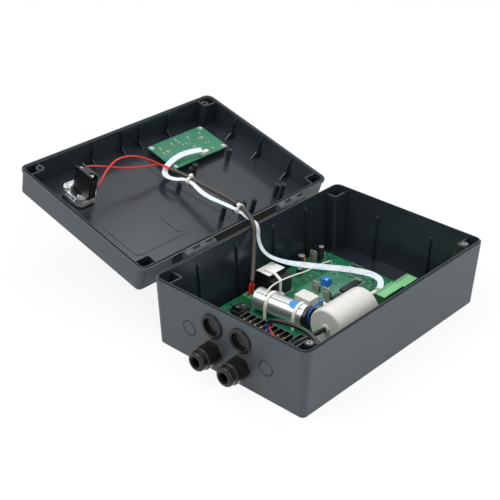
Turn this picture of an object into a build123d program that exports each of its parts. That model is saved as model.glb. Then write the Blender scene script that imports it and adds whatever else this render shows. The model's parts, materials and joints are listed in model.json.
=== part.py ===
from build123d import *
import math
import os

# A wall-mounted control box for a door or gate opener, with its hinged lid open.
# Millimetres. The origin is the middle of the flat back that goes on the wall,
# +Z points out of the wall, the cable glands are on the -Y end, the hinge is on -X.

# Box and lid
box_width = 220.0
box_length = 324.0
base_height = 83.25
base_wall = 3.2
base_floor = 3.0
draft_angle = 3.0
corner_radius = 10.0
tongue_setback = 1.9
tongue_height = 2.0
back_edge_round = 1.2

lid_depth = 36.5
lid_floor = 3.0
lid_band_height = 3.0
lid_band_slope = 2.7
lid_side_inset = 1.7
lid_top_inset = 3.0
lid_wall = 3.0
lid_edge_round = 5.0
lid_open_angle = 164.6
skirt_thickness = 1.6
gasket_groove_width = 2.0
gasket_thickness = 1.8
moving_gap = 0.3

# Hinge
hinge_offset = 7.46
hinge_starts = (-103.8, 56.8)
knuckle_radius = 5.0
pin_radius = 2.0
pin_fit = 0.05
long_knuckle = 9.4
eye_length = 16.0
short_knuckle = 5.4
stop_reach = 7.62
stop_angle = 175.4
heel_low_angle = 125.0
heel_high_angle = 215.0

# Corner pockets, screw bosses and wall fixing
pocket_from_side = 20.0
pocket_from_end = 26.5
pocket_wall = 2.0
pocket_round = 4.0
pocket_drop = 2.2
lid_pocket_from_side = 18.5
lid_pocket_from_end = 25.2
lid_pocket_drop = 1.0
boss_from_side = 13.8
boss_from_end = 21.5
boss_radius = 5.5
boss_drop = 1.0
insert_radius = 3.0
insert_bore = 1.65
insert_length = 8.0
lid_screw_radius = 2.2
wall_hole_from_side = 12.5
wall_hole_from_end = 12.0
wall_hole_radius = 2.5

# Stiffening ribs
rib_thickness = 1.6
base_side_ribs = (-95.0, -31.0, 34.0, 95.0)
base_end_ribs = (-40.0, 40.0)
base_side_rib_top = 76.0
base_end_rib_top = 66.0
base_rib_depth = 3.0
lid_side_ribs = (-50.0, 0.0, 30.0, 80.0)
lid_end_ribs = (-51.0, 2.0, 51.0)

# Cable entries
gland_x = 20.5
gland_z = 25.5
gland_thread_radius = 10.0
gland_hex = 24.0
gland_flange = 5.0
gland_bore = 5.5
gland_nut_length = 21.0
gland_pad_radius = 14.0
gland_pad_setback = 2.2
gland_neck_bore = 7.8
grommet_z = 59.3
grommet_bore = 10.5
grommet_waist = 12.5
grommet_flange_radius = 15.0
grommet_flange = 2.4
grommet_skin = 1.0
grommet_skin_depth = 1.6
grommet_slit_width = 0.8
grommet_slit_depth = 0.4
knockout_x = 55.5
knockout_z = 40.7
knockout_radius = 9.5
knockout_groove = 1.3
knockout_depth = 0.9

# Main board
board_width = 184.0
board_length = 229.0
board_thickness = 1.6
board_post_height = 8.0
board_post_radius = 3.6
board_screw_x = 86.0
board_screw_rows = (-108.0, 30.0, 108.0)
board_screw_radius = 1.45
seat_gap = 0.05

# Mains terminals, switch and supply parts on the main board
barrier_x = -12.9
barrier_y = -82.5
barrier_pitch = 8.25
barrier_poles = 8
barrier_depth = 14.0
barrier_height = 15.0
barrier_wall = 1.2
barrier_floor = 9.6
barrier_screw_y = 2.3
barrier_screw_height = 2.3
end_terminal_x = 35.6
end_terminal_y = -79.5
end_terminal_size = (19.0, 22.0, 14.0)
end_screw_shift = (-1.4, -6.9)
switch_x = -55.5
switch_y = -78.5
switch_bezel = (15.0, 21.0, 2.0)
switch_body = (13.0, 19.0)
switch_top = 30.0
rocker_width = 10.8
rocker_swing = 24.0
stop_terminal_x = -73.8
stop_terminal_y = -41.5
stop_terminal_size = (11.5, 15.0, 11.4)
stop_pole_pitch = 5.08
ferrule_radius = 1.5
ferrule_step = 1.4
ferrule_spread = 1.9
ferrule_depth = 4.4
ferrule_hole = 2.3
transformer_x = -73.0
transformer_y = -1.8
transformer_size = (32.0, 31.5, 22.0)
transformer_cap = (22.0, 30.0, 5.0)
relay_x = -19.5
relay_y = -3.5
relay_size = (23.0, 17.0, 15.5)

# Capacitors
can_radius = 13.5
can_length = 69.0
can_x = -25.5
can_y = -41.0
can_turn = 5.7
can_cap_length = 5.0
can_tie_places = (21.0, 60.0)
tie_thickness = 1.2
tie_width = 3.6
motor_radius = 23.0
motor_length = 68.0
motor_x = 49.0
motor_y = -19.5
motor_nub_radius = 4.6
motor_nub_length = 1.6

# Accessory terminals
accessory_pitch = 3.81
accessory_end = 0.8
accessory_x = 44.0
plug_width = 15.5
plug_height = 11.5
header_height = 5.8
front_poles = 9
front_plug_y = 69.0
rear_poles = 7
rear_plug_y = 100.65
rear_plug_shift = 2.0

# Small parts on the main board
transistor_places = ((-77.0, 80.0), (-28.0, 25.0), (-9.0, 21.5))
filter_capacitors = ((-76.0, 92.5, 4.0, 20.0), (-86.0, 66.5, 5.0, 14.0), (-74.0, 49.0, 4.0, 8.0))
trimmer_place = (-33.0, 50.0)
trimmer_size = 9.5
controller_chip = (-8.5, 64.0, 9.0, 30.0)
driver_chip = (-5.0, 35.0, 7.5, 15.0)
crystal_place = (-10.5, 83.5)
ribbon_socket_place = (27.0, 67.0)
ribbon_socket_size = (6.0, 17.5, 9.5)

# Lid board and front buttons, with the lid shut
lid_board_x = 56.7
lid_board_y = 76.2
lid_board_size = (53.0, 98.0)
lid_board_level = 24.0
lid_board_screw_x = 22.5
lid_board_screw_y = 45.0
lid_post_radius = 3.2
button_x = 57.0
button_rows = (46.0, 76.0, 106.0)
button_radius = 4.0
button_flange = 5.4
button_proud = 1.5
button_travel = 0.8
tact_size = (12.0, 12.0, 4.0)
led_x = 72.0
led_rows = (40.0, 61.0, 91.0, 112.0)
led_radius = 1.5
lid_plug_x = 34.5
lid_plug_y = 84.0
lid_plug_size = (5.0, 12.0, 4.5)
spare_posts = (
    (17.0, 113.5, 16.5), (-71.0, 112.0, 15.0), (-70.0, 51.0, 17.5), (17.5, 50.0, 17.5),
    (-79.5, 112.0, 9.0), (-81.5, 55.0, 7.5), (-59.0, 50.5, 25.0), (-67.0, 17.0, 14.5),
    (21.0, 48.0, 25.0), (4.0, 10.0, 24.0),
)
spare_post_radius = 3.3
spare_post_bore = 1.4

# Emergency stop in the lid, with the lid shut
operator_x = 57.0
operator_y = -109.0
operator_hole = 11.2
operator_sleeve = 11.0
operator_bezel_radius = 14.5
operator_bezel_height = 4.5
collar_size = (36.0, 28.0, 12.0)
collar_gap = 2.4
contact_size = (30.0, 11.0, 33.0)
contact_shift = -7.5
stem_radius = 5.0
stem_fit = 0.08
stop_travel = 4.0
stop_twist = 30.0
mushroom_radius = 20.0
mushroom_height = 12.0

# Cables: diameters, and the routes with the lid open
sleeve_diameter = 5.2
ribbon_diameter = 3.0
wire_diameter = 2.2
antenna_diameter = 1.8
capacitor_cable_diameter = 5.4
lead_diameter = 2.0
stop_cable_route = (
    (-262.0, 13.5, 106.0), (-246.0, 19.0, 102.0), (-219.0, 18.0, 100.0), (-188.5, 19.5, 96.6),
    (-158.5, 18.5, 94.4), (-133.0, 12.5, 93.6), (-102.8, -3.5, 93.2), (-98.2, -8.0, 73.3),
    (-86.3, -22.0, 54.7), (-72.6, -39.5, 38.6),
)
ribbon_route = (
    (-269.5, 79.5, 108.0), (-274.5, 64.0, 109.0), (-276.0, 45.0, 109.5), (-274.0, 28.0, 107.5),
    (-269.5, 12.0, 103.5), (-258.0, 1.0, 101.5), (-243.0, 3.0, 100.5), (-235.0, 12.6, 100.6),
    (-222.0, 13.9, 99.0), (-208.0, 10.5, 95.5), (-190.0, 8.5, 92.5), (-161.0, 10.5, 91.2),
    (-135.0, 10.0, 90.4), (-121.5, 5.6, 88.6), (-103.4, 4.2, 89.7), (-101.2, 2.2, 66.0),
    (-90.0, 3.5, 51.5), (-75.5, 21.5, 39.5), (-60.0, 41.5, 33.5), (-45.0, 57.5, 30.0),
    (-24.0, 72.5, 29.5),
    (-4.0, 81.0, 30.0), (14.0, 84.5, 30.5), (27.5, 80.0, 28.6), (30.8, 69.5, 25.5),
)
long_wire_route = (
    (-263.9, -103.0, 121.5), (-266.5, -94.5, 126.5), (-273.0, -80.0, 132.5), (-278.5, -61.0, 137.5),
    (-277.5, -43.0, 137.0), (-276.0, -25.0, 131.0), (-272.5, -6.0, 120.0), (-269.93, 9.45, 108.08),
    (-261.64, 12.3, 106.01),
)
short_wire_route = (
    (-289.6, -102.0, 138.0), (-288.6, -92.5, 137.0), (-284.5, -75.0, 131.5), (-278.5, -49.0, 122.5),
    (-273.5, -20.0, 115.5), (-273.0, 0.0, 113.0), (-270.74, 11.82, 108.08), (-262.45, 14.67, 106.01),
)
antenna_route = (
    (-43.0, -51.0, 38.4), (-45.4, -41.0, 43.8), (-47.3, -20.0, 43.2), (-48.5, 9.0, 38.5),
    (-49.5, 28.0, 33.5), (-55.0, 52.0, 27.5), (-57.0, 75.0, 24.0), (-57.3, 91.5, 20.5),
    (-57.3, 91.5, 12.63),
)
capacitor_cable_route = (
    (49.0, -55.15, 35.9), (47.5, -68.0, 36.2), (43.0, -98.0, 36.2), (44.0, -126.0, 33.5),
    (60.0, -139.0, 31.5), (81.0, -129.0, 33.5), (84.5, -108.0, 38.0), (75.0, -94.0, 43.5),
    (59.5, -90.0, 49.3), (46.5, -89.6, 51.6), (31.5, -90.2, 50.9), (17.3, -90.0, 47.8),
    (5.0, -90.0, 44.2), (-1.5, -89.8, 39.5),
)
blue_lead_route = (
    (-2.5, -90.8, 39.1), (-3.4, -91.4, 36.0), (-1.6, -93.0, 28.5), (-0.53, -92.0, 24.2),
    (-0.53, -87.6, 23.5),
)
red_lead_route = (
    (-2.7, -88.6, 38.5), (-2.4, -89.2, 35.4), (2.5, -92.2, 31.0), (9.5, -94.0, 28.0),
    (15.2, -93.8, 25.4), (15.97, -91.0, 23.9), (15.97, -87.6, 23.5),
)
cable_tie_run_numbers = ((1, 7), (4, 11))
cable_tie_shares = ((0.648, 0.5), (0.70, 0.80))
cable_tie_slack = 0.2
link_wire_route = (
    (14.95, -44.5, 22.6), (18.4, -44.6, 23.8), (18.0, -47.6, 31.9), (18.0, -45.0, 39.6),
    (18.0, -37.0, 43.6), (18.0, -28.0, 44.0), (15.5, -19.0, 41.5), (10.5, -12.0, 38.0),
    (7.2, -8.6, 28.0), (7.2, -8.6, 12.63),
)

# Worked out from the sizes above
hinge_x = -(box_width / 2 + hinge_offset)
hinge_z = base_height
board_z = base_floor + board_post_height
board_top = board_z + board_thickness
lid_ceiling = base_height + lid_depth - lid_floor
lid_top = base_height + lid_depth
lid_rim = base_height + moving_gap
can_z = board_top + can_radius + moving_gap
pocket_x = box_width / 2 - pocket_from_side
pocket_y = box_length / 2 - pocket_from_end
lid_pocket_x = box_width / 2 - lid_pocket_from_side
lid_pocket_y = box_length / 2 - lid_pocket_from_end
boss_x = box_width / 2 - boss_from_side
boss_y = box_length / 2 - boss_from_end
wall_hole_x = box_width / 2 - wall_hole_from_side
wall_hole_y = box_length / 2 - wall_hole_from_end
gland_pad_y = box_length / 2 - gland_pad_setback
motor_z = board_top + motor_radius + moving_gap
open_lid = Pos(hinge_x, 0, hinge_z) * Rot(0, -lid_open_angle, 0) * Pos(-hinge_x, 0, -hinge_z)


def base_inset(z):
    """How far the drafted side of the base stands in from the rim at a height."""
    return (base_height - z) * math.tan(math.radians(draft_angle))


def outline(inset):
    """The plan outline of the box, drawn in by an inset."""
    radius = max(corner_radius - inset, 1.0)
    return RectangleRounded(box_width - 2 * inset, box_length - 2 * inset, radius)


def drafted_block(low_z, low_inset, high_z, high_inset):
    """A block with the outline of the box and its own inset at each end."""
    low = Pos(0, 0, low_z) * outline(low_inset)
    high = Pos(0, 0, high_z) * outline(high_inset)
    return loft([low.face(), high.face()])


def box_between(low, high):
    """A box from its lowest corner to its highest."""
    size = [b - a for a, b in zip(low, high)]
    return Pos(*low) * Box(*size, align=(Align.MIN, Align.MIN, Align.MIN))


def standing_box(x, y, z, size):
    """A box that stands on a height, centred on a place."""
    return Pos(x, y, z) * Box(*size, align=(Align.CENTER, Align.CENTER, Align.MIN))


def standing_cylinder(x, y, z, radius, height):
    """A cylinder that stands on a height."""
    align = (Align.CENTER, Align.CENTER, Align.MIN)
    return Pos(x, y, z) * Cylinder(radius, height, align=align)


def wall_rib(profile, thickness, foot, inward):
    """A plate on a wall; its profile is drawn inward and upward from the foot."""
    normal = Vector(*inward).cross(Vector(0, 0, 1))
    plane = Plane(origin=foot, x_dir=inward, z_dir=normal)
    return extrude(plane * Polygon(*profile, align=None), amount=thickness / 2, both=True)


def along_y(x, start, length, z, radius):
    """A round bar along the hinge direction."""
    align = (Align.CENTER, Align.CENTER, Align.MIN)
    return Pos(x, start, z) * Rot(-90, 0, 0) * Cylinder(radius, length, align=align)


def corners(x, y):
    """The four places that mirror one place over both middle planes."""
    return [(sx * x, sy * y) for sx in (-1, 1) for sy in (-1, 1)]


def pocket_walls(x, y, low, high):
    """Thin square walls that close off the four corners of a shell."""
    height = high - low
    reach_x = box_width / 2 - x + pocket_wall
    reach_y = box_length / 2 - y + pocket_wall
    walls = []
    for sx in (-1, 1):
        for sy in (-1, 1):
            middle = (sx * (x - pocket_wall / 2 + reach_x / 2), sy * (y - pocket_wall / 2 + reach_y / 2))
            outside = Pos(*middle, low) * RectangleRounded(reach_x, reach_y, pocket_round)
            inside = Pos(*middle, low) * RectangleRounded(
                reach_x - 2 * pocket_wall, reach_y - 2 * pocket_wall, pocket_round - pocket_wall
            )
            walls.append(extrude(outside - inside, amount=height))
    return walls


def nearest_piece(pieces, shape):
    """Which of some pieces has its middle nearest to a shape."""
    return min(range(len(pieces)), key=lambda index: (pieces[index].center() - shape.center()).length)


# Base

def hinge_knuckles():
    """The barrels on the base that hold the hinge pins, each on its bracket."""
    parts = []
    second = long_knuckle + eye_length + 2 * moving_gap
    for start in hinge_starts:
        for offset, length in ((0.0, long_knuckle), (second, short_knuckle)):
            barrel = along_y(hinge_x, start + offset, length, hinge_z, knuckle_radius)
            profile = ((0, 0), (hinge_offset + knuckle_radius - 1, 14.5), (hinge_offset, 19.2), (0, 19.2))
            foot = (-box_width / 2 + base_inset(64), start + offset + length / 2, hinge_z - 19.7)
            bracket = wall_rib(profile, length, foot, (-1, 0, 0))
            parts.append(barrel + bracket)
    return parts


def hinge_bores():
    """The pin holes through the barrels of the base."""
    length = long_knuckle + 2 * eye_length + short_knuckle + 3 * moving_gap
    return [along_y(hinge_x, start + 1.5, length, hinge_z, pin_radius + pin_fit) for start in hinge_starts]


def base_ribs():
    """Low ribs on the inside of the four walls, widest at the floor."""
    parts = []
    inner_x = box_width / 2 - base_wall
    inner_y = box_length / 2 - base_wall
    for top, places, inward_list in (
        (base_side_rib_top, base_side_ribs, ((1, 0, 0), (-1, 0, 0))),
        (base_end_rib_top, base_end_ribs, ((0, -1, 0), (0, 1, 0))),
    ):
        foot_depth = base_inset(0) + base_rib_depth + 1.5
        profile = ((-base_wall, 0), (foot_depth, 0), (base_rib_depth, top - 5), (0, top))
        for inward in inward_list:
            for place in places:
                foot = (-inward[0] * inner_x, place, 0) if inward[0] else (place, -inward[1] * inner_y, 0)
                parts.append(wall_rib(profile, rib_thickness, foot, inward))
    return parts


def board_posts():
    """Posts on the floor that carry the main board."""
    parts = []
    low = base_floor + seat_gap
    for x in (-board_screw_x, board_screw_x):
        for y in board_screw_rows:
            post = standing_cylinder(x, y, low, board_post_radius, board_z - low)
            parts.append(post - standing_cylinder(x, y, board_z - 6, board_screw_radius, 7))
    return parts


def gland_place(side):
    """The frame of a gland: its local Z leaves the box along -Y."""
    return Pos(side * gland_x, -gland_pad_y, gland_z) * Rot(90, 0, 0)


def grommet_place(side):
    """The frame of a grommet, square to the drafted wall."""
    y = -(box_length / 2 - base_inset(grommet_z))
    return Pos(side * gland_x, y, grommet_z) * Rot(90 + draft_angle, 0, 0)


def knockout_rings():
    """Round grooves that mark two spare cable entries."""
    parts = []
    y = -(box_length / 2 - base_inset(knockout_z))
    for side in (-1, 1):
        place = Pos(side * knockout_x, y, knockout_z) * Rot(90 + draft_angle, 0, 0)
        ring = Circle(knockout_radius) - Circle(knockout_radius - knockout_groove)
        parts.append(place * extrude(ring, amount=knockout_depth, both=True))
    return parts


def base_cavity(inset):
    """The hollow of the base, drawn in by an inset on the walls and raised off the floor by it."""
    tongue_top = base_height + tongue_height
    low_inset = base_inset(base_floor) + base_wall + inset
    high_inset = base_inset(tongue_top) + base_wall + inset
    return drafted_block(base_floor + inset, low_inset, tongue_top, high_inset)


def base_shell():
    """The deep half of the box, with ribs, gland pads and hinge barrels."""
    outer = drafted_block(0, base_inset(0), base_height, 0)
    outer = fillet(outer.faces().sort_by(Axis.Z)[0].edges(), back_edge_round)
    tongue_top = base_height + tongue_height
    outer += drafted_block(base_height - 1, tongue_setback, tongue_top, tongue_setback)
    inside = drafted_block(0, base_inset(0) + base_wall / 2, base_height, base_wall / 2)
    shell = outer - base_cavity(0)
    shell += [piece & inside for piece in base_ribs()]
    shell += hinge_knuckles()
    for side in (-1, 1):
        shell += gland_place(side) * Cylinder(
            gland_pad_radius, 1.6, align=(Align.CENTER, Align.CENTER, Align.MAX)
        )
        shell -= gland_place(side) * Cylinder(gland_thread_radius + 0.2, 30)
        shell -= grommet_place(side) * Cylinder(grommet_waist, 30)
    shell -= knockout_rings()
    shell -= hinge_bores()
    for x, y in corners(wall_hole_x, wall_hole_y):
        shell -= standing_cylinder(x, y, -1, wall_hole_radius, base_floor + 2)
    return shell


def base_pockets():
    """The walls that close off the four corners, and the two bosses for the lid screws."""
    room = base_cavity(seat_gap)
    pockets = []
    for walls in pocket_walls(pocket_x, pocket_y, base_floor, base_height - pocket_drop):
        pockets.append(walls & room)
    for y in (-boss_y, boss_y):
        top = base_height - boss_drop
        boss = standing_cylinder(boss_x, y, base_floor, boss_radius, top - base_floor) & room
        depth = insert_length + 4
        bore = standing_cylinder(boss_x, y, top - depth, insert_radius + seat_gap, depth + 1)
        index = nearest_piece(pockets, boss)
        pockets[index] = pockets[index] + boss - bore
    return pockets


def lid_screw_inserts():
    """Two threaded brass sleeves in the screw bosses."""
    parts = []
    low = base_height - boss_drop - insert_length
    for y in (-boss_y, boss_y):
        sleeve = standing_cylinder(boss_x, y, low, insert_radius, insert_length)
        parts.append(sleeve - standing_cylinder(boss_x, y, low - 1, insert_bore, insert_length + 2))
    return parts


def hinge_pins():
    """Two steel pins, one through each group of barrels."""
    length = long_knuckle + 2 * eye_length + short_knuckle - 1.5
    return [along_y(hinge_x, start + 2.0, length, hinge_z, pin_radius) for start in hinge_starts]


# Cable entries

def gland_body():
    """The hexagon and threaded neck of a cable gland, seen from the box outward."""
    hexagon = extrude(RegularPolygon(gland_hex / 2, 6, major_radius=False), amount=gland_flange)
    hexagon = fillet(hexagon.edges().filter_by(Axis.Z), 1.0)
    inner = Cylinder(gland_thread_radius, 14, align=(Align.CENTER, Align.CENTER, Align.MAX))
    neck = Pos(0, 0, gland_flange) * Cylinder(9.4, 11, align=(Align.CENTER, Align.CENTER, Align.MIN))
    return hexagon + inner + neck - Cylinder(gland_neck_bore, 60)


def gland_nut():
    """The domed clamping nut of a cable gland."""
    low = gland_flange + 1.0
    top = low + gland_nut_length
    profile = Polyline(
        (0, low), (13.2, low), (13.2, low + 11), (11.8, low + 12.6), (11.4, top - 3.6)
    )
    crown = Polyline((9.0, top), (0, top), (0, low))
    round_edge = RadiusArc((11.4, top - 3.6), (9.0, top), -3.2)
    dome = revolve(Plane.XZ * make_face(profile + round_edge + crown), Axis.Z)
    hexagon = extrude(RegularPolygon(gland_hex / 2 + 0.4, 6, major_radius=False), amount=top + 1)
    hexagon += Pos(0, 0, low + 11.5) * Cylinder(20, 30, align=(Align.CENTER, Align.CENTER, Align.MIN))
    nut = dome & hexagon
    nut -= Pos(0, 0, low - 1) * Cylinder(9.5, 12.6, align=(Align.CENTER, Align.CENTER, Align.MIN))
    return nut - Cylinder(gland_bore + 1.2, 2 * top + 2)


def gland_seal():
    """The rubber ring that grips the cable."""
    low = gland_flange + 4
    top = gland_flange + gland_nut_length - 1.0
    return standing_cylinder(0, 0, low, gland_bore + 1.15, top - low) - Cylinder(gland_bore, 2 * top + 2)


def gland_locknut():
    """The nut inside the box that holds a gland."""
    inner_face = gland_pad_y - (box_length / 2 - base_inset(gland_z) - base_wall) + 0.9
    nut = extrude(RegularPolygon(gland_hex / 2, 6, major_radius=False), amount=5)
    nut -= Cylinder(gland_thread_radius + seat_gap, 20)
    return Pos(0, 0, -inner_face - 5) * nut


def grommet():
    """A rubber bush with a flange on each side of the wall, closed by a thin skin with a cross."""
    outer = Pos(0, 0, seat_gap) * Cylinder(
        grommet_flange_radius, grommet_flange, align=(Align.CENTER, Align.CENTER, Align.MIN)
    )
    outer = fillet(outer.edges().sort_by(Axis.Z)[-1], 1.6)
    waist = Pos(0, 0, seat_gap) * Cylinder(
        grommet_waist - seat_gap, base_wall + 2, align=(Align.CENTER, Align.CENTER, Align.MAX)
    )
    inner = Pos(0, 0, -base_wall - seat_gap) * Cylinder(
        grommet_waist + 1.2, 2.0, align=(Align.CENTER, Align.CENTER, Align.MAX)
    )
    bush = outer + waist + inner
    bush -= standing_cylinder(0, 0, -grommet_skin_depth, grommet_bore, 20)
    back = -grommet_skin_depth - grommet_skin
    bush -= Pos(0, 0, back) * Cylinder(grommet_bore, 20, align=(Align.CENTER, Align.CENTER, Align.MAX))
    slit = Box(2 * grommet_bore - 3, grommet_slit_width, 2 * grommet_slit_depth)
    return bush - [Pos(0, 0, -grommet_skin_depth) * Rot(0, 0, turn) * slit for turn in (45, 135)]


# Main board and its parts

def tie_loop(radius, drop):
    """A strap over a round body with its two ends drawn down, closed below."""
    outside = Circle(radius + tie_thickness)
    outside += Pos(0, -drop / 2) * Rectangle(2 * (radius + tie_thickness), drop)
    inside = Circle(radius) + Pos(0, -drop / 2) * Rectangle(2 * radius, drop)
    inside -= Pos(0, -drop + tie_thickness / 2) * Rectangle(2 * radius, tie_thickness)
    return extrude(outside - inside, amount=tie_width / 2, both=True)


def can_frame():
    """The frame of the aluminium can: local Z runs along it from its closed end."""
    turn = Pos(can_x, can_y, can_z) * Rot(0, 0, can_turn)
    return turn * Pos(-can_length / 2, 0, 0) * Rot(0, 90, 0) * Rot(0, 0, 90)


def can_tie_legs():
    """Slots in the board for the straps that hold the can."""
    parts = []
    for place in can_tie_places:
        for side in (-1, 1):
            slot = Box(tie_thickness + 0.8, board_thickness + 2, tie_width + 0.8)
            reach = side * (can_radius + 0.1 + tie_thickness / 2)
            parts.append(can_frame() * Pos(reach, board_z + board_thickness / 2 - can_z, place) * slot)
    return parts


def main_board():
    """The main circuit board, with its screw holes and strap slots."""
    board = standing_box(0, 0, board_z, (board_width, board_length, board_thickness))
    board = fillet(board.edges().filter_by(Axis.Z), 1.5)
    for x in (-board_screw_x, board_screw_x):
        for y in board_screw_rows:
            board -= standing_cylinder(x, y, board_z - 1, board_screw_radius + 0.15, 4)
    return board - can_tie_legs()


def board_screws():
    """Pan-head screws through the main board into its posts."""
    parts = []
    for x in (-board_screw_x, board_screw_x):
        for y in board_screw_rows:
            head = standing_cylinder(x, y, board_top, 2.8, 1.9)
            radius = board_screw_radius - seat_gap
            parts.append(head + standing_cylinder(x, y, board_z - 4.5, radius, board_thickness + 4.6))
    return parts


def barrier_strip():
    """The black screw strip, with a wall between each two poles."""
    length = barrier_poles * barrier_pitch + 2 * barrier_wall
    strip = standing_box(barrier_x, barrier_y, board_top, (length, barrier_depth, barrier_height))
    for pole in range(barrier_poles):
        x = barrier_x + (pole - (barrier_poles - 1) / 2) * barrier_pitch
        width = barrier_pitch - barrier_wall
        low = (x - width / 2, barrier_y - barrier_depth, board_top + barrier_floor)
        back = barrier_y + barrier_depth / 2 - barrier_wall
        high = (x + width / 2, back, board_top + 2 * barrier_height)
        strip -= box_between(low, high)
    return strip


def end_terminal():
    """The larger single block at the end of the screw strip."""
    width, depth, height = end_terminal_size
    block = standing_box(end_terminal_x, end_terminal_y, board_top, end_terminal_size)
    inner = (width - 2 * barrier_wall, depth, height)
    block -= standing_box(end_terminal_x, end_terminal_y - barrier_wall, board_top + barrier_floor, inner)
    return block


def barrier_screws():
    """The clamping screws of the strip and of its end block."""
    parts = []
    level = board_top + barrier_floor
    for pole in range(barrier_poles):
        x = barrier_x + (pole - (barrier_poles - 1) / 2) * barrier_pitch
        parts.append(standing_cylinder(x, barrier_y - barrier_screw_y, level, 2.6, barrier_screw_height))
    x = end_terminal_x + end_screw_shift[0]
    y = end_terminal_y + end_screw_shift[1]
    parts.append(standing_cylinder(x, y, level, 3.2, barrier_screw_height))
    return parts


def power_switch_body():
    """The fixed frame of the rocker switch."""
    width, length, thickness = switch_bezel
    body_height = switch_top - thickness - board_top
    body = standing_box(switch_x, switch_y, board_top, (*switch_body, body_height))
    body += standing_box(switch_x, switch_y, switch_top - thickness, switch_bezel)
    well = (rocker_width + 0.6, length - 3.2, 7.0)
    return body - standing_box(switch_x, switch_y, switch_top - 6.5, well)


def power_switch_rocker():
    """The rocking key, tipped to one side as it rests."""
    profile = ((-8.0, -1.2), (8.0, -1.2), (8.2, 3.2), (0, 1.5), (-8.2, 3.2))
    plane = Plane(origin=(0, 0, 0), x_dir=(0, 1, 0), z_dir=(1, 0, 0))
    key = extrude(plane * Polygon(*profile, align=None), amount=rocker_width / 2, both=True)
    return Pos(switch_x, switch_y, switch_top - 0.6) * Rot(-rocker_swing / 2, 0, 0) * key


def stop_terminal():
    """The green two-pole terminal for the stop circuit."""
    width, length, height = stop_terminal_size
    block = standing_box(stop_terminal_x, stop_terminal_y, board_top, stop_terminal_size)
    edge = block.edges().filter_by(Axis.Y).group_by(Axis.Z)[-1].sort_by(Axis.X)[-1]
    block = chamfer(edge, 2.0)
    for x, y in ferrule_places():
        block -= standing_cylinder(x, y, board_top + 3, ferrule_hole, height)
    return block


def ferrule_places():
    """Where the two wires enter the green terminal."""
    return [(stop_terminal_x, stop_terminal_y + side * stop_pole_pitch / 2) for side in (-1, 1)]


def wire_ferrules():
    """Two insulated wire ends between the stop cable and its terminal."""
    parts = []
    end = Vector(*stop_cable_route[-1])
    leaving = (end - Vector(*stop_cable_route[-2])).normalized()
    across = (Vector(0, 1, 0) - leaving * leaving.Y).normalized()
    for (x, y), side in zip(ferrule_places(), (-1, 1)):
        top = end + leaving * ferrule_step + across * (side * ferrule_spread)
        line = Vector(x, y, board_top + stop_terminal_size[2] - ferrule_depth) - top
        plane = Plane(origin=top, z_dir=line)
        parts.append(extrude(plane * Circle(ferrule_radius), amount=line.length))
    return parts


def transformer():
    """The potted mains transformer: a wide block with a narrower crown."""
    width, length, height = transformer_size
    block = standing_box(transformer_x, transformer_y, board_top, transformer_size)
    block = fillet(block.edges().filter_by(Axis.Z), 1.0)
    crown_x = transformer_x - (width - transformer_cap[0]) / 2 + 0.8
    crown = standing_box(crown_x, transformer_y, board_top + height, transformer_cap)
    return block + fillet(crown.edges().group_by(Axis.Z)[-1], 0.6)


def transformer_tie():
    """A white strap over the transformer, down its side to the board."""
    width, length, height = transformer_size
    side = transformer_x + width / 2 + tie_thickness
    crown_edge = transformer_x - (width - transformer_cap[0]) / 2 + 0.8 + transformer_cap[0] / 2
    shoulder = board_top + height
    top = shoulder + transformer_cap[2] + tie_thickness
    path = FilletPolyline(
        (crown_edge - 14, top), (crown_edge + 1.5, top), (side, shoulder + 1.5), (side, board_top + 3.5),
        radius=(3.0, 2.0)
    )
    y = transformer_y - 6.5
    plane = Plane(origin=(0, y, 0), x_dir=(1, 0, 0), z_dir=(0, -1, 0))
    strap = extrude(plane * trace(path, line_width=tie_thickness), amount=tie_width / 2, both=True)
    head = standing_box(side + 1.6, y, board_top, (5.4, 5.6, 4.4))
    return strap + head


def relay():
    """The white relay, with its small side shelf."""
    body = standing_box(relay_x, relay_y, board_top, relay_size)
    body = fillet(body.edges().filter_by(Axis.Z), 0.8)
    width, length, height = relay_size
    shelf = standing_box(relay_x - width / 2 - 2.5, relay_y + 3, board_top, (5.5, 9.0, height - 6))
    return body + shelf


def can_capacitor():
    """The large aluminium-cased capacitor, rounded at its closed end."""
    can = Cylinder(can_radius, can_length, align=(Align.CENTER, Align.CENTER, Align.MIN))
    can = fillet(can.edges().sort_by(Axis.Z)[0], 2.0)
    return can_frame() * can


def can_end_cap():
    """The black end of the aluminium can."""
    cap = Pos(0, 0, can_length) * Cylinder(
        can_radius + 0.2, can_cap_length, align=(Align.CENTER, Align.CENTER, Align.MIN)
    )
    return can_frame() * fillet(cap.edges().sort_by(Axis.Z)[-1], 1.2)


def can_ties():
    """Two white straps that hold the can down through slots in the board."""
    parts = []
    drop = can_z - board_z + tie_thickness + 0.2
    for place in can_tie_places:
        parts.append(can_frame() * Pos(0, 0, place) * tie_loop(can_radius + 0.1, drop))
    return parts


def motor_capacitor():
    """The white motor-run capacitor, lying along the box."""
    start = motor_y - motor_length / 2
    body = along_y(motor_x, start, motor_length, motor_z, motor_radius)
    body = fillet(body.edges().filter_by(GeomType.CIRCLE), 2.4)
    nub = along_y(motor_x, start - motor_nub_length, motor_nub_length + 1, motor_z, motor_nub_radius)
    return body + nub


def header_strip(poles, x, y):
    """The board half of an accessory terminal."""
    length = poles * accessory_pitch + accessory_end
    return standing_box(x - 1.5, y, board_top, (plug_width - 5, length, header_height))


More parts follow.
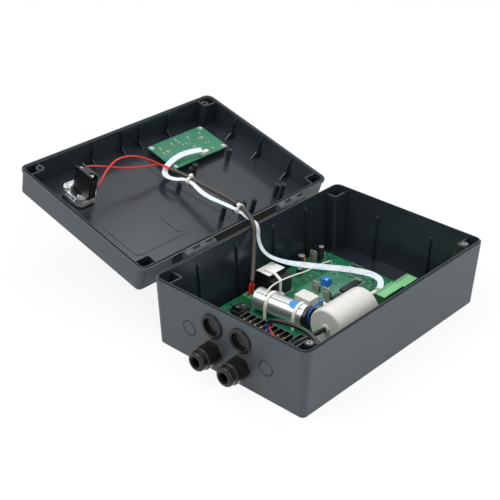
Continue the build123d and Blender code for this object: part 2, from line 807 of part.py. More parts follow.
def plug_strip(poles, x, y):
    """The plug half, with screw wells on top and wire entries toward the screw side."""
    length = poles * accessory_pitch + accessory_end
    low = board_top + header_height + seat_gap
    plug = standing_box(x, y, low, (plug_width, length, plug_height))
    for pole in range(poles):
        place = y + (pole - (poles - 1) / 2) * accessory_pitch
        well = standing_box(x - plug_width / 2 + 2.6, place, low + plug_height - 3, (2.6, 2.4, 4))
        entry = standing_box(x + plug_width / 2, place, low + 2.0, (8.0, 2.7, 3.4))
        plug -= [well, entry]
    return plug


def transistor(x, y):
    """A tab-mounted power transistor standing on three legs."""
    leg_height = 4.0
    body = standing_box(x, y, board_top + leg_height, (10.0, 4.4, 9.0))
    tab = standing_box(x, y - 1.6, board_top + leg_height, (10.0, 1.2, 15.4))
    tab -= Pos(x, y - 1.6, board_top + leg_height + 12.2) * Rot(90, 0, 0) * Cylinder(1.8, 6)
    legs = [standing_box(x + step, y, board_top, (0.9, 0.6, leg_height + 0.5)) for step in (-2.54, 0, 2.54)]
    return body + tab + legs


def filter_capacitor(x, y, radius, height):
    """A small upright capacitor with a crimped foot."""
    body = standing_cylinder(x, y, board_top, radius, height)
    body = fillet(body.edges().sort_by(Axis.Z)[-1], 0.5)
    crimp = standing_cylinder(x, y, board_top + 1.4, radius + 1, 0.8)
    crimp -= standing_cylinder(x, y, board_top + 1, radius - 0.4, 2)
    return body - crimp


def level_trimmer():
    """The blue adjuster with its screw slot."""
    x, y = trimmer_place
    block = standing_box(x, y, board_top, (trimmer_size, trimmer_size, trimmer_size))
    screw = standing_cylinder(x + 1.5, y - 1.5, board_top + trimmer_size - 1.0, 2.4, 2)
    screw -= standing_cylinder(x + 1.5, y - 1.5, board_top + trimmer_size - 1.0, 1.8, 3)
    slot = standing_box(x + 1.5, y - 1.5, board_top + trimmer_size - 1.0, (3.2, 0.8, 3))
    return block - (screw & block) - slot


def chip(x, y, width, length):
    """A dual-row chip with its legs."""
    body = standing_box(x, y, board_top + 0.6, (width - 1.6, length, 3.2))
    legs = []
    count = int(length // 2.54)
    for index in range(count):
        place = y + (index - (count - 1) / 2) * 2.54
        legs.append(standing_box(x, place, board_top, (width, 0.7, 1.6)))
    return body + legs


def crystal():
    """The low oblong crystal."""
    can = extrude(Pos(*crystal_place, board_top) * SlotOverall(11.0, 4.6), amount=3.4)
    return can


def ribbon_socket():
    """The white socket and plug of the ribbon cable on the main board."""
    x, y = ribbon_socket_place
    width, length, height = ribbon_socket_size
    shroud = standing_box(x, y, board_top, (width, length, height - 3.0))
    plug = standing_box(x, y, board_top + height - 3.0, (width - 1.6, length - 2.0, 3.0))
    return shroud + plug


# Lid, drawn shut and turned open at the end

def lid_level(depth):
    """The height of a level counted from the rim into the shut lid."""
    return base_height + depth


def lid_eyes():
    """The lid's hinge loops, each with the corner that stops the lid when open."""
    parts = []
    first = long_knuckle + moving_gap
    second = first + eye_length + short_knuckle + 2 * moving_gap
    for start in hinge_starts:
        for offset in (first, second):
            low = start + offset
            eye = along_y(hinge_x, low, eye_length, hinge_z, knuckle_radius)
            arm_low = (hinge_x, low, lid_rim)
            arm_high = (-box_width / 2 + 1.0, low + eye_length, hinge_z + knuckle_radius)
            corner = [math.radians(angle) for angle in (heel_low_angle, stop_angle, heel_high_angle)]
            reach = (knuckle_radius - 0.1, stop_reach, knuckle_radius - 0.1)
            points = [(r * math.cos(a), r * math.sin(a)) for a, r in zip(corner, reach)]
            plane = Plane(origin=(hinge_x, low, hinge_z), x_dir=(1, 0, 0), z_dir=(0, -1, 0))
            heel = extrude(plane * Polygon((0, 0), *points, align=None), amount=-eye_length)
            loop = eye + box_between(arm_low, arm_high) + heel
            parts.append(loop)
    return parts


def lid_bores():
    """The running holes for the pins in the lid's loops."""
    length = long_knuckle + 2 * eye_length + short_knuckle + 3 * moving_gap + 4
    return [along_y(hinge_x, start, length, hinge_z, pin_radius + 2 * pin_fit) for start in hinge_starts]


def lid_ribs():
    """Ribs on the four walls of the lid that flare onto its inner face."""
    low = lid_level(4.4)
    inner = lid_wall + lid_side_inset
    depth = lid_ceiling - low + 1
    profile = ((-1.5, 0), (1.5, 0), (3.4, 5.0), (4.8, depth - 9), (15.0, depth), (-1.5, depth))
    parts = []
    for sign in (-1, 1):
        for y in lid_side_ribs:
            foot = (sign * (box_width / 2 - inner), y, low)
            parts.append(wall_rib(profile, rib_thickness, foot, (-sign, 0, 0)))
        for x in lid_end_ribs:
            foot = (x, sign * (box_length / 2 - inner), low)
            parts.append(wall_rib(profile, rib_thickness, foot, (0, -sign, 0)))
    return parts


def lid_board_screw_places():
    """Where the four screws hold the lid board."""
    return [(lid_board_x + x, lid_board_y + y) for x, y in corners(lid_board_screw_x, lid_board_screw_y)]


def lid_posts_shut():
    """Posts under the lid board and the spare posts beside it, each with its screw hole."""
    parts = []
    top = lid_ceiling - seat_gap
    low = lid_level(lid_board_level) + board_thickness
    for x, y in lid_board_screw_places():
        post = standing_cylinder(x, y, low, lid_post_radius, top - low)
        parts.append(post - standing_cylinder(x, y, low - 1, board_screw_radius, 8.0))
    for x, y, depth in spare_posts:
        post = standing_cylinder(x, y, lid_level(depth), spare_post_radius, top - lid_level(depth))
        parts.append(post - standing_cylinder(x, y, lid_level(depth) - 1, spare_post_bore, 6))
    return parts


def lid_holes():
    """Every hole through or into the lid."""
    parts = []
    for y in button_rows:
        parts.append(standing_cylinder(button_x, y, lid_ceiling - 2, button_radius + moving_gap, 8))
    for y in led_rows:
        parts.append(standing_cylinder(led_x, y, lid_ceiling - 2, led_radius + 0.1, 8))
    parts.append(standing_cylinder(operator_x, operator_y, lid_ceiling - 2, operator_hole, 8))
    return parts + lid_screw_holes()


def lid_cavity(inset):
    """The hollow of the shut lid, drawn in by an inset on the walls and off its inner face."""
    rim_inset = lid_side_inset + lid_wall + inset
    return drafted_block(lid_rim - 1, rim_inset, lid_ceiling - inset, lid_top_inset + lid_wall + inset)


def lid_pockets_shut():
    """The walls that close off the lid's corners, and the two bosses round its screws."""
    room = lid_cavity(seat_gap)
    pockets = []
    for walls in pocket_walls(lid_pocket_x, lid_pocket_y, lid_level(lid_pocket_drop), lid_ceiling):
        pockets.append(walls & room)
    for y in (-boss_y, boss_y):
        low = lid_level(0.6)
        boss = standing_cylinder(boss_x, y, low, boss_radius, lid_ceiling - low) & room
        index = nearest_piece(pockets, boss)
        pockets[index] = pockets[index] + boss - lid_screw_holes()
    return pockets


def lid_screw_holes():
    """The stepped holes for the two lid screws."""
    parts = []
    for y in (-boss_y, boss_y):
        parts.append(standing_cylinder(boss_x, y, lid_rim - 1, lid_screw_radius, lid_depth + 4))
        parts.append(standing_cylinder(boss_x, y, lid_top - 6, 4.4, 8))
    return parts


def lid_shell_shut():
    """The shallow half of the box: a banded, drafted cover with a gasket groove."""
    band_top = lid_rim + lid_band_height
    slope_top = band_top + lid_band_slope
    outer = drafted_block(slope_top, lid_side_inset, lid_top, lid_top_inset)
    outer = fillet(outer.faces().sort_by(Axis.Z)[-1].edges(), lid_edge_round)
    outer += drafted_block(lid_rim, 0, band_top, 0)
    outer += drafted_block(band_top, 0, slope_top, lid_side_inset)
    rim_inset = lid_side_inset + lid_wall
    inside = drafted_block(lid_rim, rim_inset - 0.8, lid_top - 1, lid_top_inset + 1.5)
    shell = outer - lid_cavity(0)
    shell += [piece & inside for piece in lid_ribs()]
    shell += lid_eyes()
    groove = drafted_block(lid_rim - 1, skirt_thickness, groove_roof(), skirt_thickness)
    inner_edge = skirt_thickness + gasket_groove_width
    groove -= drafted_block(lid_rim - 2, inner_edge, groove_roof() + 1, inner_edge)
    return shell - groove - lid_holes() - lid_bores()


def groove_roof():
    """The height of the gasket groove's roof in the shut lid."""
    return base_height + tongue_height + moving_gap + gasket_thickness


def lid_gasket_shut():
    """The rubber cord in the lid's groove."""
    low = groove_roof() - gasket_thickness
    outer_edge = skirt_thickness + seat_gap
    inner_edge = skirt_thickness + gasket_groove_width - seat_gap
    ring = drafted_block(low, outer_edge, groove_roof() - 0.01, outer_edge)
    return ring - drafted_block(low - 1, inner_edge, groove_roof() + 1, inner_edge)


def lid_board_shut():
    """The small circuit board behind the front buttons."""
    place = Pos(lid_board_x, lid_board_y, lid_level(lid_board_level))
    board = place * Box(*lid_board_size, board_thickness, align=(Align.CENTER, Align.CENTER, Align.MIN))
    for x, y in lid_board_screw_places():
        board -= standing_cylinder(x, y, lid_level(lid_board_level) - 1, board_screw_radius + 0.15, 4)
    return board


def lid_board_screws_shut():
    """Four pan-head screws on the solder side of the lid board."""
    parts = []
    level = lid_level(lid_board_level)
    for x, y in lid_board_screw_places():
        head = standing_cylinder(x, y, level - 1.9, 2.8, 1.9)
        parts.append(head + standing_cylinder(x, y, level - 0.1, board_screw_radius - seat_gap, 7.0))
    return parts


def tact_switches_shut():
    """Three small push switches on the hidden side of the lid board."""
    parts = []
    level = lid_level(lid_board_level) + board_thickness
    for y in button_rows:
        body = standing_box(button_x, y, level, tact_size)
        parts.append(body - standing_cylinder(button_x, y, level + 1.4, 2.0, 6))
    return parts


def button_shut(y):
    """A front button: cap, inner flange and the plunger that works its switch."""
    switch_face = lid_level(lid_board_level) + board_thickness + tact_size[2]
    flange_top = lid_ceiling - moving_gap
    cap_low = flange_top - 1.4
    cap = standing_cylinder(button_x, y, cap_low, button_radius, lid_top + button_proud - cap_low)
    cap = fillet(cap.edges().sort_by(Axis.Z)[-1], 0.6)
    flange = standing_cylinder(button_x, y, flange_top - 1.4, button_flange, 1.4)
    plunger = standing_cylinder(button_x, y, switch_face - 1.4, 1.7, flange_top - switch_face + 0.6)
    return cap + flange + plunger


def indicator_leds_shut():
    """Four small lamps that look through the lid."""
    parts = []
    level = lid_level(lid_board_level) + board_thickness
    for y in led_rows:
        lamp = standing_cylinder(led_x, y, level + 2, led_radius, lid_top - 0.4 - level - 2)
        foot = standing_cylinder(led_x, y, level, led_radius + 0.4, 2)
        parts.append(fillet(lamp.edges().sort_by(Axis.Z)[-1], led_radius - 0.3) + foot)
    return parts


def lid_ribbon_plug_shut():
    """The ribbon's white plug on the edge of the lid board."""
    height = lid_plug_size[2]
    return standing_box(lid_plug_x, lid_plug_y, lid_level(lid_board_level) - height, lid_plug_size)


def operator_body_shut():
    """The bezel and sleeve of the emergency stop, through the lid."""
    bezel = standing_cylinder(operator_x, operator_y, lid_top, operator_bezel_radius, operator_bezel_height)
    bezel = fillet(bezel.edges().sort_by(Axis.Z)[-1], 1.2)
    low = lid_ceiling - collar_gap - collar_size[2] + 0.5
    sleeve = standing_cylinder(operator_x, operator_y, low, operator_sleeve, lid_top - low + 0.5)
    bore = standing_cylinder(operator_x, operator_y, low - 1, stem_radius + stem_fit, 60)
    return bezel + sleeve - bore


def operator_collar_shut():
    """The metal clamping collar behind the lid."""
    width, length, height = collar_size
    low = lid_ceiling - collar_gap - height
    collar = standing_box(operator_x, operator_y, low, collar_size)
    collar = chamfer(collar.edges().filter_by(Axis.Z), 4.0)
    ring = standing_cylinder(operator_x, operator_y, low + height - 0.5, 13.0, collar_gap + 0.5 - seat_gap)
    step = standing_box(operator_x, operator_y - length / 2 + 2.5, low - 0.5, (width - 16, 5, 4.5))
    collar = collar + ring - step
    return collar - standing_cylinder(operator_x, operator_y, low - 2, operator_sleeve + seat_gap, 40)


def contact_block_shut():
    """The black contact block that stands on the collar, with two screw terminals."""
    width, length, height = contact_size
    top = lid_ceiling - collar_gap - collar_size[2] - seat_gap
    x = operator_x + contact_shift
    block = standing_box(x, operator_y, top - height, contact_size)
    block = chamfer(block.edges().filter_by(Axis.Z), 1.0)
    for side in (-1, 1):
        well = standing_cylinder(x + side * 9.0, operator_y, top - height - 1, 3.2, 4)
        cutaway_size = (7.0, length - 3.0, 8.0)
        cutaway = standing_box(x + side * width / 2, operator_y, top - height - 1, cutaway_size)
        block -= [well, cutaway]
    return block


def contact_screws_shut():
    """The two clamp screws in the contact block."""
    top = lid_ceiling - collar_gap - collar_size[2] - seat_gap
    x = operator_x + contact_shift
    level = top - contact_size[2] + 1.4
    return [standing_cylinder(x + side * 9.0, operator_y, level, 2.8, 1.6) for side in (-1, 1)]


def stop_stem_shut():
    """The sliding stem of the emergency stop."""
    block_face = lid_ceiling - collar_gap - collar_size[2]
    low = block_face + stop_travel + moving_gap
    top = lid_top + operator_bezel_height + stop_travel + 3
    return standing_cylinder(operator_x, operator_y, low, stem_radius, top - low)


def stop_head_shut():
    """The mushroom head that turns on the stem to release it."""
    low = lid_top + operator_bezel_height + stop_travel + moving_gap
    top = low + mushroom_height
    rim = low + 5.5
    skirt = ((0, low), (8.5, low), (10.0, low + 2.5), (mushroom_radius, low + 3.0))
    side = Polyline(*skirt, (mushroom_radius, rim))
    rise = top - rim
    dome = (mushroom_radius**2 + rise**2) / (2 * rise)
    half = mushroom_radius / 2
    crown_point = (half, top - dome + math.sqrt(dome**2 - half**2))
    crown = ThreePointArc((mushroom_radius, rim), crown_point, (0, top))
    head = revolve(Plane.XZ * make_face(side + crown + Line((0, top), (0, low))), Axis.Z)
    bore_top = lid_top + operator_bezel_height + stop_travel + 3 + moving_gap
    bore = standing_cylinder(operator_x, operator_y, low - 1, stem_radius + stem_fit, bore_top - low + 1)
    return Pos(operator_x, operator_y, 0) * head - bore


# Cables

def corner_radii(points):
    """The largest tidy radius for each corner of a route."""
    radii = []
    for before, here, after in zip(points, points[1:], points[2:]):
        arriving = Vector(*here) - Vector(*before)
        leaving = Vector(*after) - Vector(*here)
        turn = math.radians(arriving.get_angle(leaving))
        radii.append(0.45 * min(arriving.length, leaving.length) / math.tan(turn / 2))
    return radii


def cord(name, points, diameter):
    """A round cable along straight runs joined by tangent arcs."""
    radii = corner_radii(points)
    path = FilletPolyline(*points, radius=radii)
    section = Plane(origin=path @ 0, z_dir=path % 0) * Circle(diameter / 2)
    cable = sweep(section, path=path)
    expected = math.pi * diameter**2 / 4 * path.length
    print(
        f"{name}: length {path.length:.1f}, least radius {min(radii):.1f}, "
        f"in diameters {min(radii) / diameter:.1f}, volume ratio {cable.volume / expected:.4f}"
    )
    return cable


def point_on(route, index, share):
    """A point part of the way along one run of a route."""
    start = Vector(*route[index])
    return start + (Vector(*route[index + 1]) - start) * share


def cable_ties():
    """Two small straps round the stop cable and the ribbon where they cross the lid."""
    parts = []
    for runs, shares in zip(cable_tie_run_numbers, cable_tie_shares):
        cable_run, ribbon_run = runs
        cable_share, ribbon_share = shares
        cable_point = point_on(stop_cable_route, cable_run, cable_share)
        ribbon_point = point_on(ribbon_route, ribbon_run, ribbon_share)
        across = ribbon_point - cable_point
        along = point_on(stop_cable_route, cable_run, 1) - cable_point
        middle = cable_point + across * 0.5
        square = across - along * (across.dot(along) / along.dot(along))
        plane = Plane(origin=middle, x_dir=square, z_dir=along)
        radius = sleeve_diameter / 2 + cable_tie_slack
        ring = SlotCenterToCenter(across.length, 2 * (radius + tie_thickness))
        ring -= SlotCenterToCenter(across.length, 2 * radius)
        strap = extrude(plane * ring, amount=1.6, both=True)
        head = plane * Pos(-across.length / 2, -radius - 2.2, 0) * Box(4.4, 3.0, 4.2)
        parts.append(strap + head)
    return parts


def opened(shape):
    """Turns a piece of the shut lid into the open pose."""
    if isinstance(shape, list):
        return [open_lid * piece for piece in shape]
    return open_lid * shape


def build_nodes():
    """Every named piece of the box, in its place with the lid open."""
    nodes = {
        "base_shell": base_shell(),
        "base_pockets": base_pockets(),
        "board_posts": board_posts(),
        "lid_screw_inserts": lid_screw_inserts(),
        "hinge_pins": hinge_pins(),
        "cable_grommets": [grommet_place(side) * grommet() for side in (-1, 1)],
        "gland_seals": [gland_place(side) * gland_seal() for side in (-1, 1)],
        "gland_locknuts": [gland_place(side) * gland_locknut() for side in (-1, 1)],
        "gland_bodies": [gland_place(side) * gland_body() for side in (-1, 1)],
        "left_gland_nut": gland_place(-1) * gland_nut(),
        "right_gland_nut": gland_place(1) * gland_nut(),
        "main_board": main_board(),
        "board_screws": board_screws(),
        "barrier_strip": barrier_strip(),
        "barrier_screws": barrier_screws(),
        "end_terminal": end_terminal(),
        "power_switch_body": power_switch_body(),
        "power_switch_rocker": power_switch_rocker(),
        "stop_terminal": stop_terminal(),
        "wire_ferrules": wire_ferrules(),
        "transformer": transformer(),
        "relay": relay(),
        "can_capacitor": can_capacitor(),
        "can_end_cap": can_end_cap(),
        "board_ties": can_ties() + [transformer_tie()],
        "motor_capacitor": motor_capacitor(),
        "accessory_headers": [
            header_strip(front_poles, accessory_x, front_plug_y),
            header_strip(rear_poles, accessory_x + rear_plug_shift, rear_plug_y),
        ],
        "accessory_plugs": [
            plug_strip(front_poles, accessory_x, front_plug_y),
            plug_strip(rear_poles, accessory_x + rear_plug_shift, rear_plug_y),
        ],
        "power_transistors": [transistor(x, y) for x, y in transistor_places],
        "filter_capacitors": [filter_capacitor(*place) for place in filter_capacitors],
        "level_trimmer": level_trimmer(),
        "chips": [chip(*controller_chip), chip(*driver_chip)],
        "crystal": crystal(),
        "ribbon_socket": ribbon_socket(),
        "lid_shell": opened(lid_shell_shut()),
        "lid_pockets": opened(lid_pockets_shut()),
        "lid_posts": opened(lid_posts_shut()),
        "lid_gasket": opened(lid_gasket_shut()),
        "lid_board": opened(lid_board_shut()),
        "lid_board_screws": opened(lid_board_screws_shut()),
        "tact_switches": opened(tact_switches_shut()),
        "indicator_leds": opened(indicator_leds_shut()),
        "lid_ribbon_plug": opened(lid_ribbon_plug_shut()),
        "operator_body": opened(operator_body_shut()),
        "operator_collar": opened(operator_collar_shut()),
        "contact_block": opened(contact_block_shut()),
        "contact_screws": opened(contact_screws_shut()),
        "stop_stem": opened(stop_stem_shut()),
        "stop_head": opened(stop_head_shut()),
        "stop_cable": cord("stop_cable", stop_cable_route, sleeve_diameter),
        "ribbon_cable": cord("ribbon_cable", ribbon_route, ribbon_diameter),
        "contact_wires": [
            cord("long wire", long_wire_route, wire_diameter),
            cord("short wire", short_wire_route, wire_diameter),
        ],
        "antenna_wire": cord("antenna_wire", antenna_route, antenna_diameter),
        "capacitor_cable": cord("capacitor_cable", capacitor_cable_route, capacitor_cable_diameter),
        "mains_leads": [
            cord("blue lead", blue_lead_route, lead_diameter),
            cord("red lead", red_lead_route, lead_diameter),
        ],
        "link_wire": cord("link_wire", link_wire_route, lead_diameter),
        "cable_ties": cable_ties(),
    }
    for name, y in zip(("open_button", "halt_button", "close_button"), button_rows):
        nodes[name] = opened(button_shut(y))
    return nodes


def main():
    os.makedirs("parts", exist_ok=True)
    for name, shape in build_nodes().items():
        solids = shape if isinstance(shape, list) else [shape]
        compound = Compound(children=[piece for part in solids for piece in part.solids()])
        compound.label = name
        export_step(compound, f"parts/{name}.step")


main()
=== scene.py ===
import json
import math
import random

import bmesh
import bpy
from bpy.props import FloatProperty, FloatVectorProperty, IntProperty, PointerProperty
from mathutils import Matrix, Vector


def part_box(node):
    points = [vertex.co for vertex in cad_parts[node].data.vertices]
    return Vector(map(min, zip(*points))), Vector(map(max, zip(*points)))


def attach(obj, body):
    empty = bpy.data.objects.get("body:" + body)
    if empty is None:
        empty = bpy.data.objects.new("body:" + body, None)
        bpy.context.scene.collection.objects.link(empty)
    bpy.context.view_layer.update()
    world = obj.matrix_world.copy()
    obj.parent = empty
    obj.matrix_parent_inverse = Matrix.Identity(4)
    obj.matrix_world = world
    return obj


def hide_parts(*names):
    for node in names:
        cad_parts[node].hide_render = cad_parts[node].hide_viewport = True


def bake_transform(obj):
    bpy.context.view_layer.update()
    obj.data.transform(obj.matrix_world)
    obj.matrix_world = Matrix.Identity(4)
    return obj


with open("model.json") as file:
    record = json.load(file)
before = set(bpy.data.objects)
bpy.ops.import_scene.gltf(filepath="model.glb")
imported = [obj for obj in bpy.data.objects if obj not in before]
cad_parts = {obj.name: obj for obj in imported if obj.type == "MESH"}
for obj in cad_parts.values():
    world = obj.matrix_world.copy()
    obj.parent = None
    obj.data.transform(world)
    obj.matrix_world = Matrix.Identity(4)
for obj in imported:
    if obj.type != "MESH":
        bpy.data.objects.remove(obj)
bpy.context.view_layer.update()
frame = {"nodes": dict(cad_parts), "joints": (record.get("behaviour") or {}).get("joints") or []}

bl_info = {
    "name": "Door opener control box",
    "version": (1, 1, 0),
    "blender": (4, 5, 0),
    "location": "3D view > Sidebar > Control box",
    "description": "Dresses the control box of a door opener with materials, wiring and small parts",
    "category": "Object",
}

MM = 0.001
JOINTS = {joint["name"]: joint for joint in frame["joints"]}
HINGE_POINT = Vector(JOINTS["lid_hinge"]["pos_m"])
OPEN_ANGLE = math.radians(JOINTS["lid_hinge"]["range_deg"][1])
OPEN_LID = (Matrix.Translation(HINGE_POINT) @ Matrix.Rotation(-OPEN_ANGLE, 4, "Y")
            @ Matrix.Translation(-HINGE_POINT))

# Levels, pitches and places in millimetres; those of the lid are for the shut box
BOARD_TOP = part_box("main_board")[1][2] / MM
STRIP_FLOOR = BOARD_TOP + 9.6
STRIP_TOP = BOARD_TOP + 15.0
STRIP_MIDDLE = -12.9
STRIP_PITCH = 8.25
STRIP_POLES = [STRIP_MIDDLE + (pole - 3.5) * STRIP_PITCH for pole in range(8)]
PLUG_PITCH = 3.81
PIN_PITCH = 2.54
CAN_RADIUS = 13.5
BOARD_SCREWS = [(x, y) for x in (-86, 86) for y in (-108, 30, 108)]
RIM = HINGE_POINT.z / MM
KNUCKLE_RADIUS = 5.0
KNOCKOUT_HEIGHT = 40.7
HALF_LENGTH = 162.0
BASE_DRAFT = 0.0524
LID_BOARD_FACE = RIM + 24.0
LID_CEILING = RIM + 33.5
LID_BOARD_SCREWS = [(x, y) for x in (34.2, 79.2) for y in (31.2, 121.2)]
COLLAR_FACE = LID_CEILING - 14.4
CONTACT_SEAT = COLLAR_FACE - 30.05
# The centre of the rounding of the halves' wall corners, in metres
CORNER_CENTRE = (0.100, 0.152, 0.0)
# A wall's slope, its start and its middle in millimetres, the level that ends the inside, and the side of it
BASE_WALL = (-BASE_DRAFT, 4.363, 8.3, 1.5, "GREATER_THAN")
LID_WALL = (0.0385, -3.178, 6.7, 118.0, "LESS_THAN")
CAMERA_PLACE = (0.69364, -0.89570, 0.72615)
CAMERA_AZIMUTH = math.radians(41.97)
CAMERA_ELEVATION = math.radians(29.26)
CAMERA_ROLL = math.radians(0.66)
CAMERA_LENS = 82.8


# Colour, nodes and materials

def linear(code):
    """An sRGB hex colour as the linear values that the shader expects."""
    parts = [int(code[place:place + 2], 16) / 255 for place in (1, 3, 5)]
    return (*[part / 12.92 if part <= 0.04045 else ((part + 0.055) / 1.055) ** 2.4 for part in parts], 1.0)


def toned(colour, factor):
    """A linear colour made lighter or darker."""
    return (*[min(part * factor, 1.0) for part in colour[:3]], 1.0)


def add_node(tree, kind, inputs=None, output=0, **settings):
    """Adds a node with its settings and links, and gives back one of its outputs, or the node itself."""
    node = tree.nodes.new("ShaderNode" + kind)
    for name, value in settings.items():
        setattr(node, name, value)
    for name, value in (inputs or {}).items():
        if isinstance(value, bpy.types.NodeSocket):
            tree.links.new(value, node.inputs[name])
        else:
            node.inputs[name].default_value = value
    return node if output is None else node.outputs[output]


def make_material(name, shader_of):
    """A material from a function that fills its tree and gives the shader, or the plain shader's values."""
    if name not in bpy.data.materials:
        material = bpy.data.materials.new(name)
        material.use_nodes = True
        tree = material.node_tree
        tree.nodes.clear()
        shader = shader_of(tree, add_node(tree, "TexCoord", output="Object"))
        if isinstance(shader, dict):
            shader = add_node(tree, "BsdfPrincipled", shader)
        add_node(tree, "OutputMaterial", {"Surface": shader}, None)
    return bpy.data.materials[name]


def surface(name, colour, roughness, metallic=0.0, ior=1.5, grain=0.5, depth=0.01, tone=0.08, spread=0.06,
            patch=14.0, edge=0.0, stretch=(1, 1, 1)):
    """A finish with a fine grain, slow changes of tone and gloss, and softened edges, in millimetres."""
    def values(tree, place):
        place = add_node(tree, "Mapping", {"Vector": place, "Scale": stretch})
        clouds = add_node(tree, "TexNoise", {"Vector": place, "Scale": 1 / (patch * MM), "Detail": 3.0})
        fine = add_node(tree, "TexNoise", {"Vector": place, "Scale": 1 / (grain * MM)})
        share = add_node(tree, "MapRange", {0: clouds, 1: 0.3, 2: 0.7})
        tones = {0: share, 6: toned(linear(colour), 1 - tone), 7: toned(linear(colour), 1 + tone)}
        gloss = {0: share, 3: max(roughness - spread, 0.03), 4: roughness + spread}
        relief = {"Height": fine, "Strength": 0.6, "Distance": depth * MM}
        if edge:
            relief["Normal"] = add_node(tree, "Bevel", {"Radius": edge * MM}, samples=4)
        return {
            "Base Color": add_node(tree, "Mix", tones, 2, data_type="RGBA"),
            "Roughness": add_node(tree, "MapRange", gloss),
            "Metallic": metallic,
            "IOR": ior,
            "Normal": add_node(tree, "Bump", relief),
        }
    return make_material(name, values)


def inner_share(tree, place, wall):
    """1 on the inner side of the middle of a half's drafted wall, 0 on its outer side."""
    slope, start, middle, level, side = wall
    flat, none = place, (0, 0, 0)
    for operation, other in (("MULTIPLY", (1, 1, 0)), ("ABSOLUTE", none), ("SUBTRACT", CORNER_CENTRE),
                             ("MAXIMUM", none)):
        flat = add_node(tree, "VectorMath", {0: flat, 1: other}, operation=operation)
    reach = add_node(tree, "VectorMath", {0: flat}, "Value", operation="LENGTH")
    height = add_node(tree, "SeparateXYZ", {0: place}, 2)
    drawn = add_node(tree, "Math", {0: height, 1: slope, 2: start * MM}, operation="MULTIPLY_ADD")
    total = add_node(tree, "Math", {0: reach, 1: drawn}, operation="ADD")
    soft = {0: total, 1: (middle - 0.1) * MM, 2: (middle + 0.1) * MM, 3: 1.0, 4: 0.0}
    within = add_node(tree, "MapRange", soft)
    gate = add_node(tree, "Math", {0: height, 1: level * MM}, operation=side)
    return add_node(tree, "Math", {0: within, 1: gate}, operation="MULTIPLY")


def moulded_abs(look, lid=False):
    """Moulded ABS: satin blue-grey outside, glossy inside where the mould was polished; the inside's darker
    colour is painted shade.
    """
    def values(tree, place):
        if lid:
            back = OPEN_LID.inverted().to_translation()
            turn = {"Vector": place, "Rotation": (0, OPEN_ANGLE, 0), "Location": back}
            place = add_node(tree, "Mapping", turn)
        inside = inner_share(tree, place, LID_WALL if lid else BASE_WALL)
        clouds = add_node(tree, "TexNoise", {"Vector": place, "Scale": 1 / (60 * MM), "Detail": 3.0})
        fine = add_node(tree, "TexNoise", {"Vector": place, "Scale": 1 / (0.9 * MM)})
        share = add_node(tree, "MapRange", {0: clouds, 1: 0.3, 2: 0.7})
        outer_skin_and_inner_shade, glosses = {0: inside}, {0: inside}
        # The inside's darker colour is painted shade; its lower roughness is the polished skin
        for index, (colour, tone, roughness, spread) in enumerate((
            (look.plastic_colour, 0.05, look.plastic_roughness, 0.04),
            (look.inside_shade_colour, 0.1, look.inner_roughness, 0.03),
        )):
            tones = {0: share, 6: toned(colour, 1 - tone), 7: toned(colour, 1 + tone)}
            outer_skin_and_inner_shade[6 + index] = add_node(tree, "Mix", tones, 2, data_type="RGBA")
            gloss = {0: share, 3: roughness - spread, 4: roughness + spread}
            glosses[2 + index] = add_node(tree, "MapRange", gloss)
        relief = {
            "Height": fine, "Strength": add_node(tree, "MapRange", {0: inside, 3: 0.6, 4: 0.1}),
            "Distance": 0.02 * MM,
            "Normal": add_node(tree, "Bevel", {"Radius": look.edge_softness * MM}, samples=4),
        }
        return {
            "Base Color": add_node(tree, "Mix", outer_skin_and_inner_shade, 2, data_type="RGBA"),
            "Roughness": add_node(tree, "Mix", glosses),
            "IOR": 1.47,
            "Normal": add_node(tree, "Bump", relief),
        }
    return make_material("moulded_abs_lid" if lid else "moulded_abs_base", values)


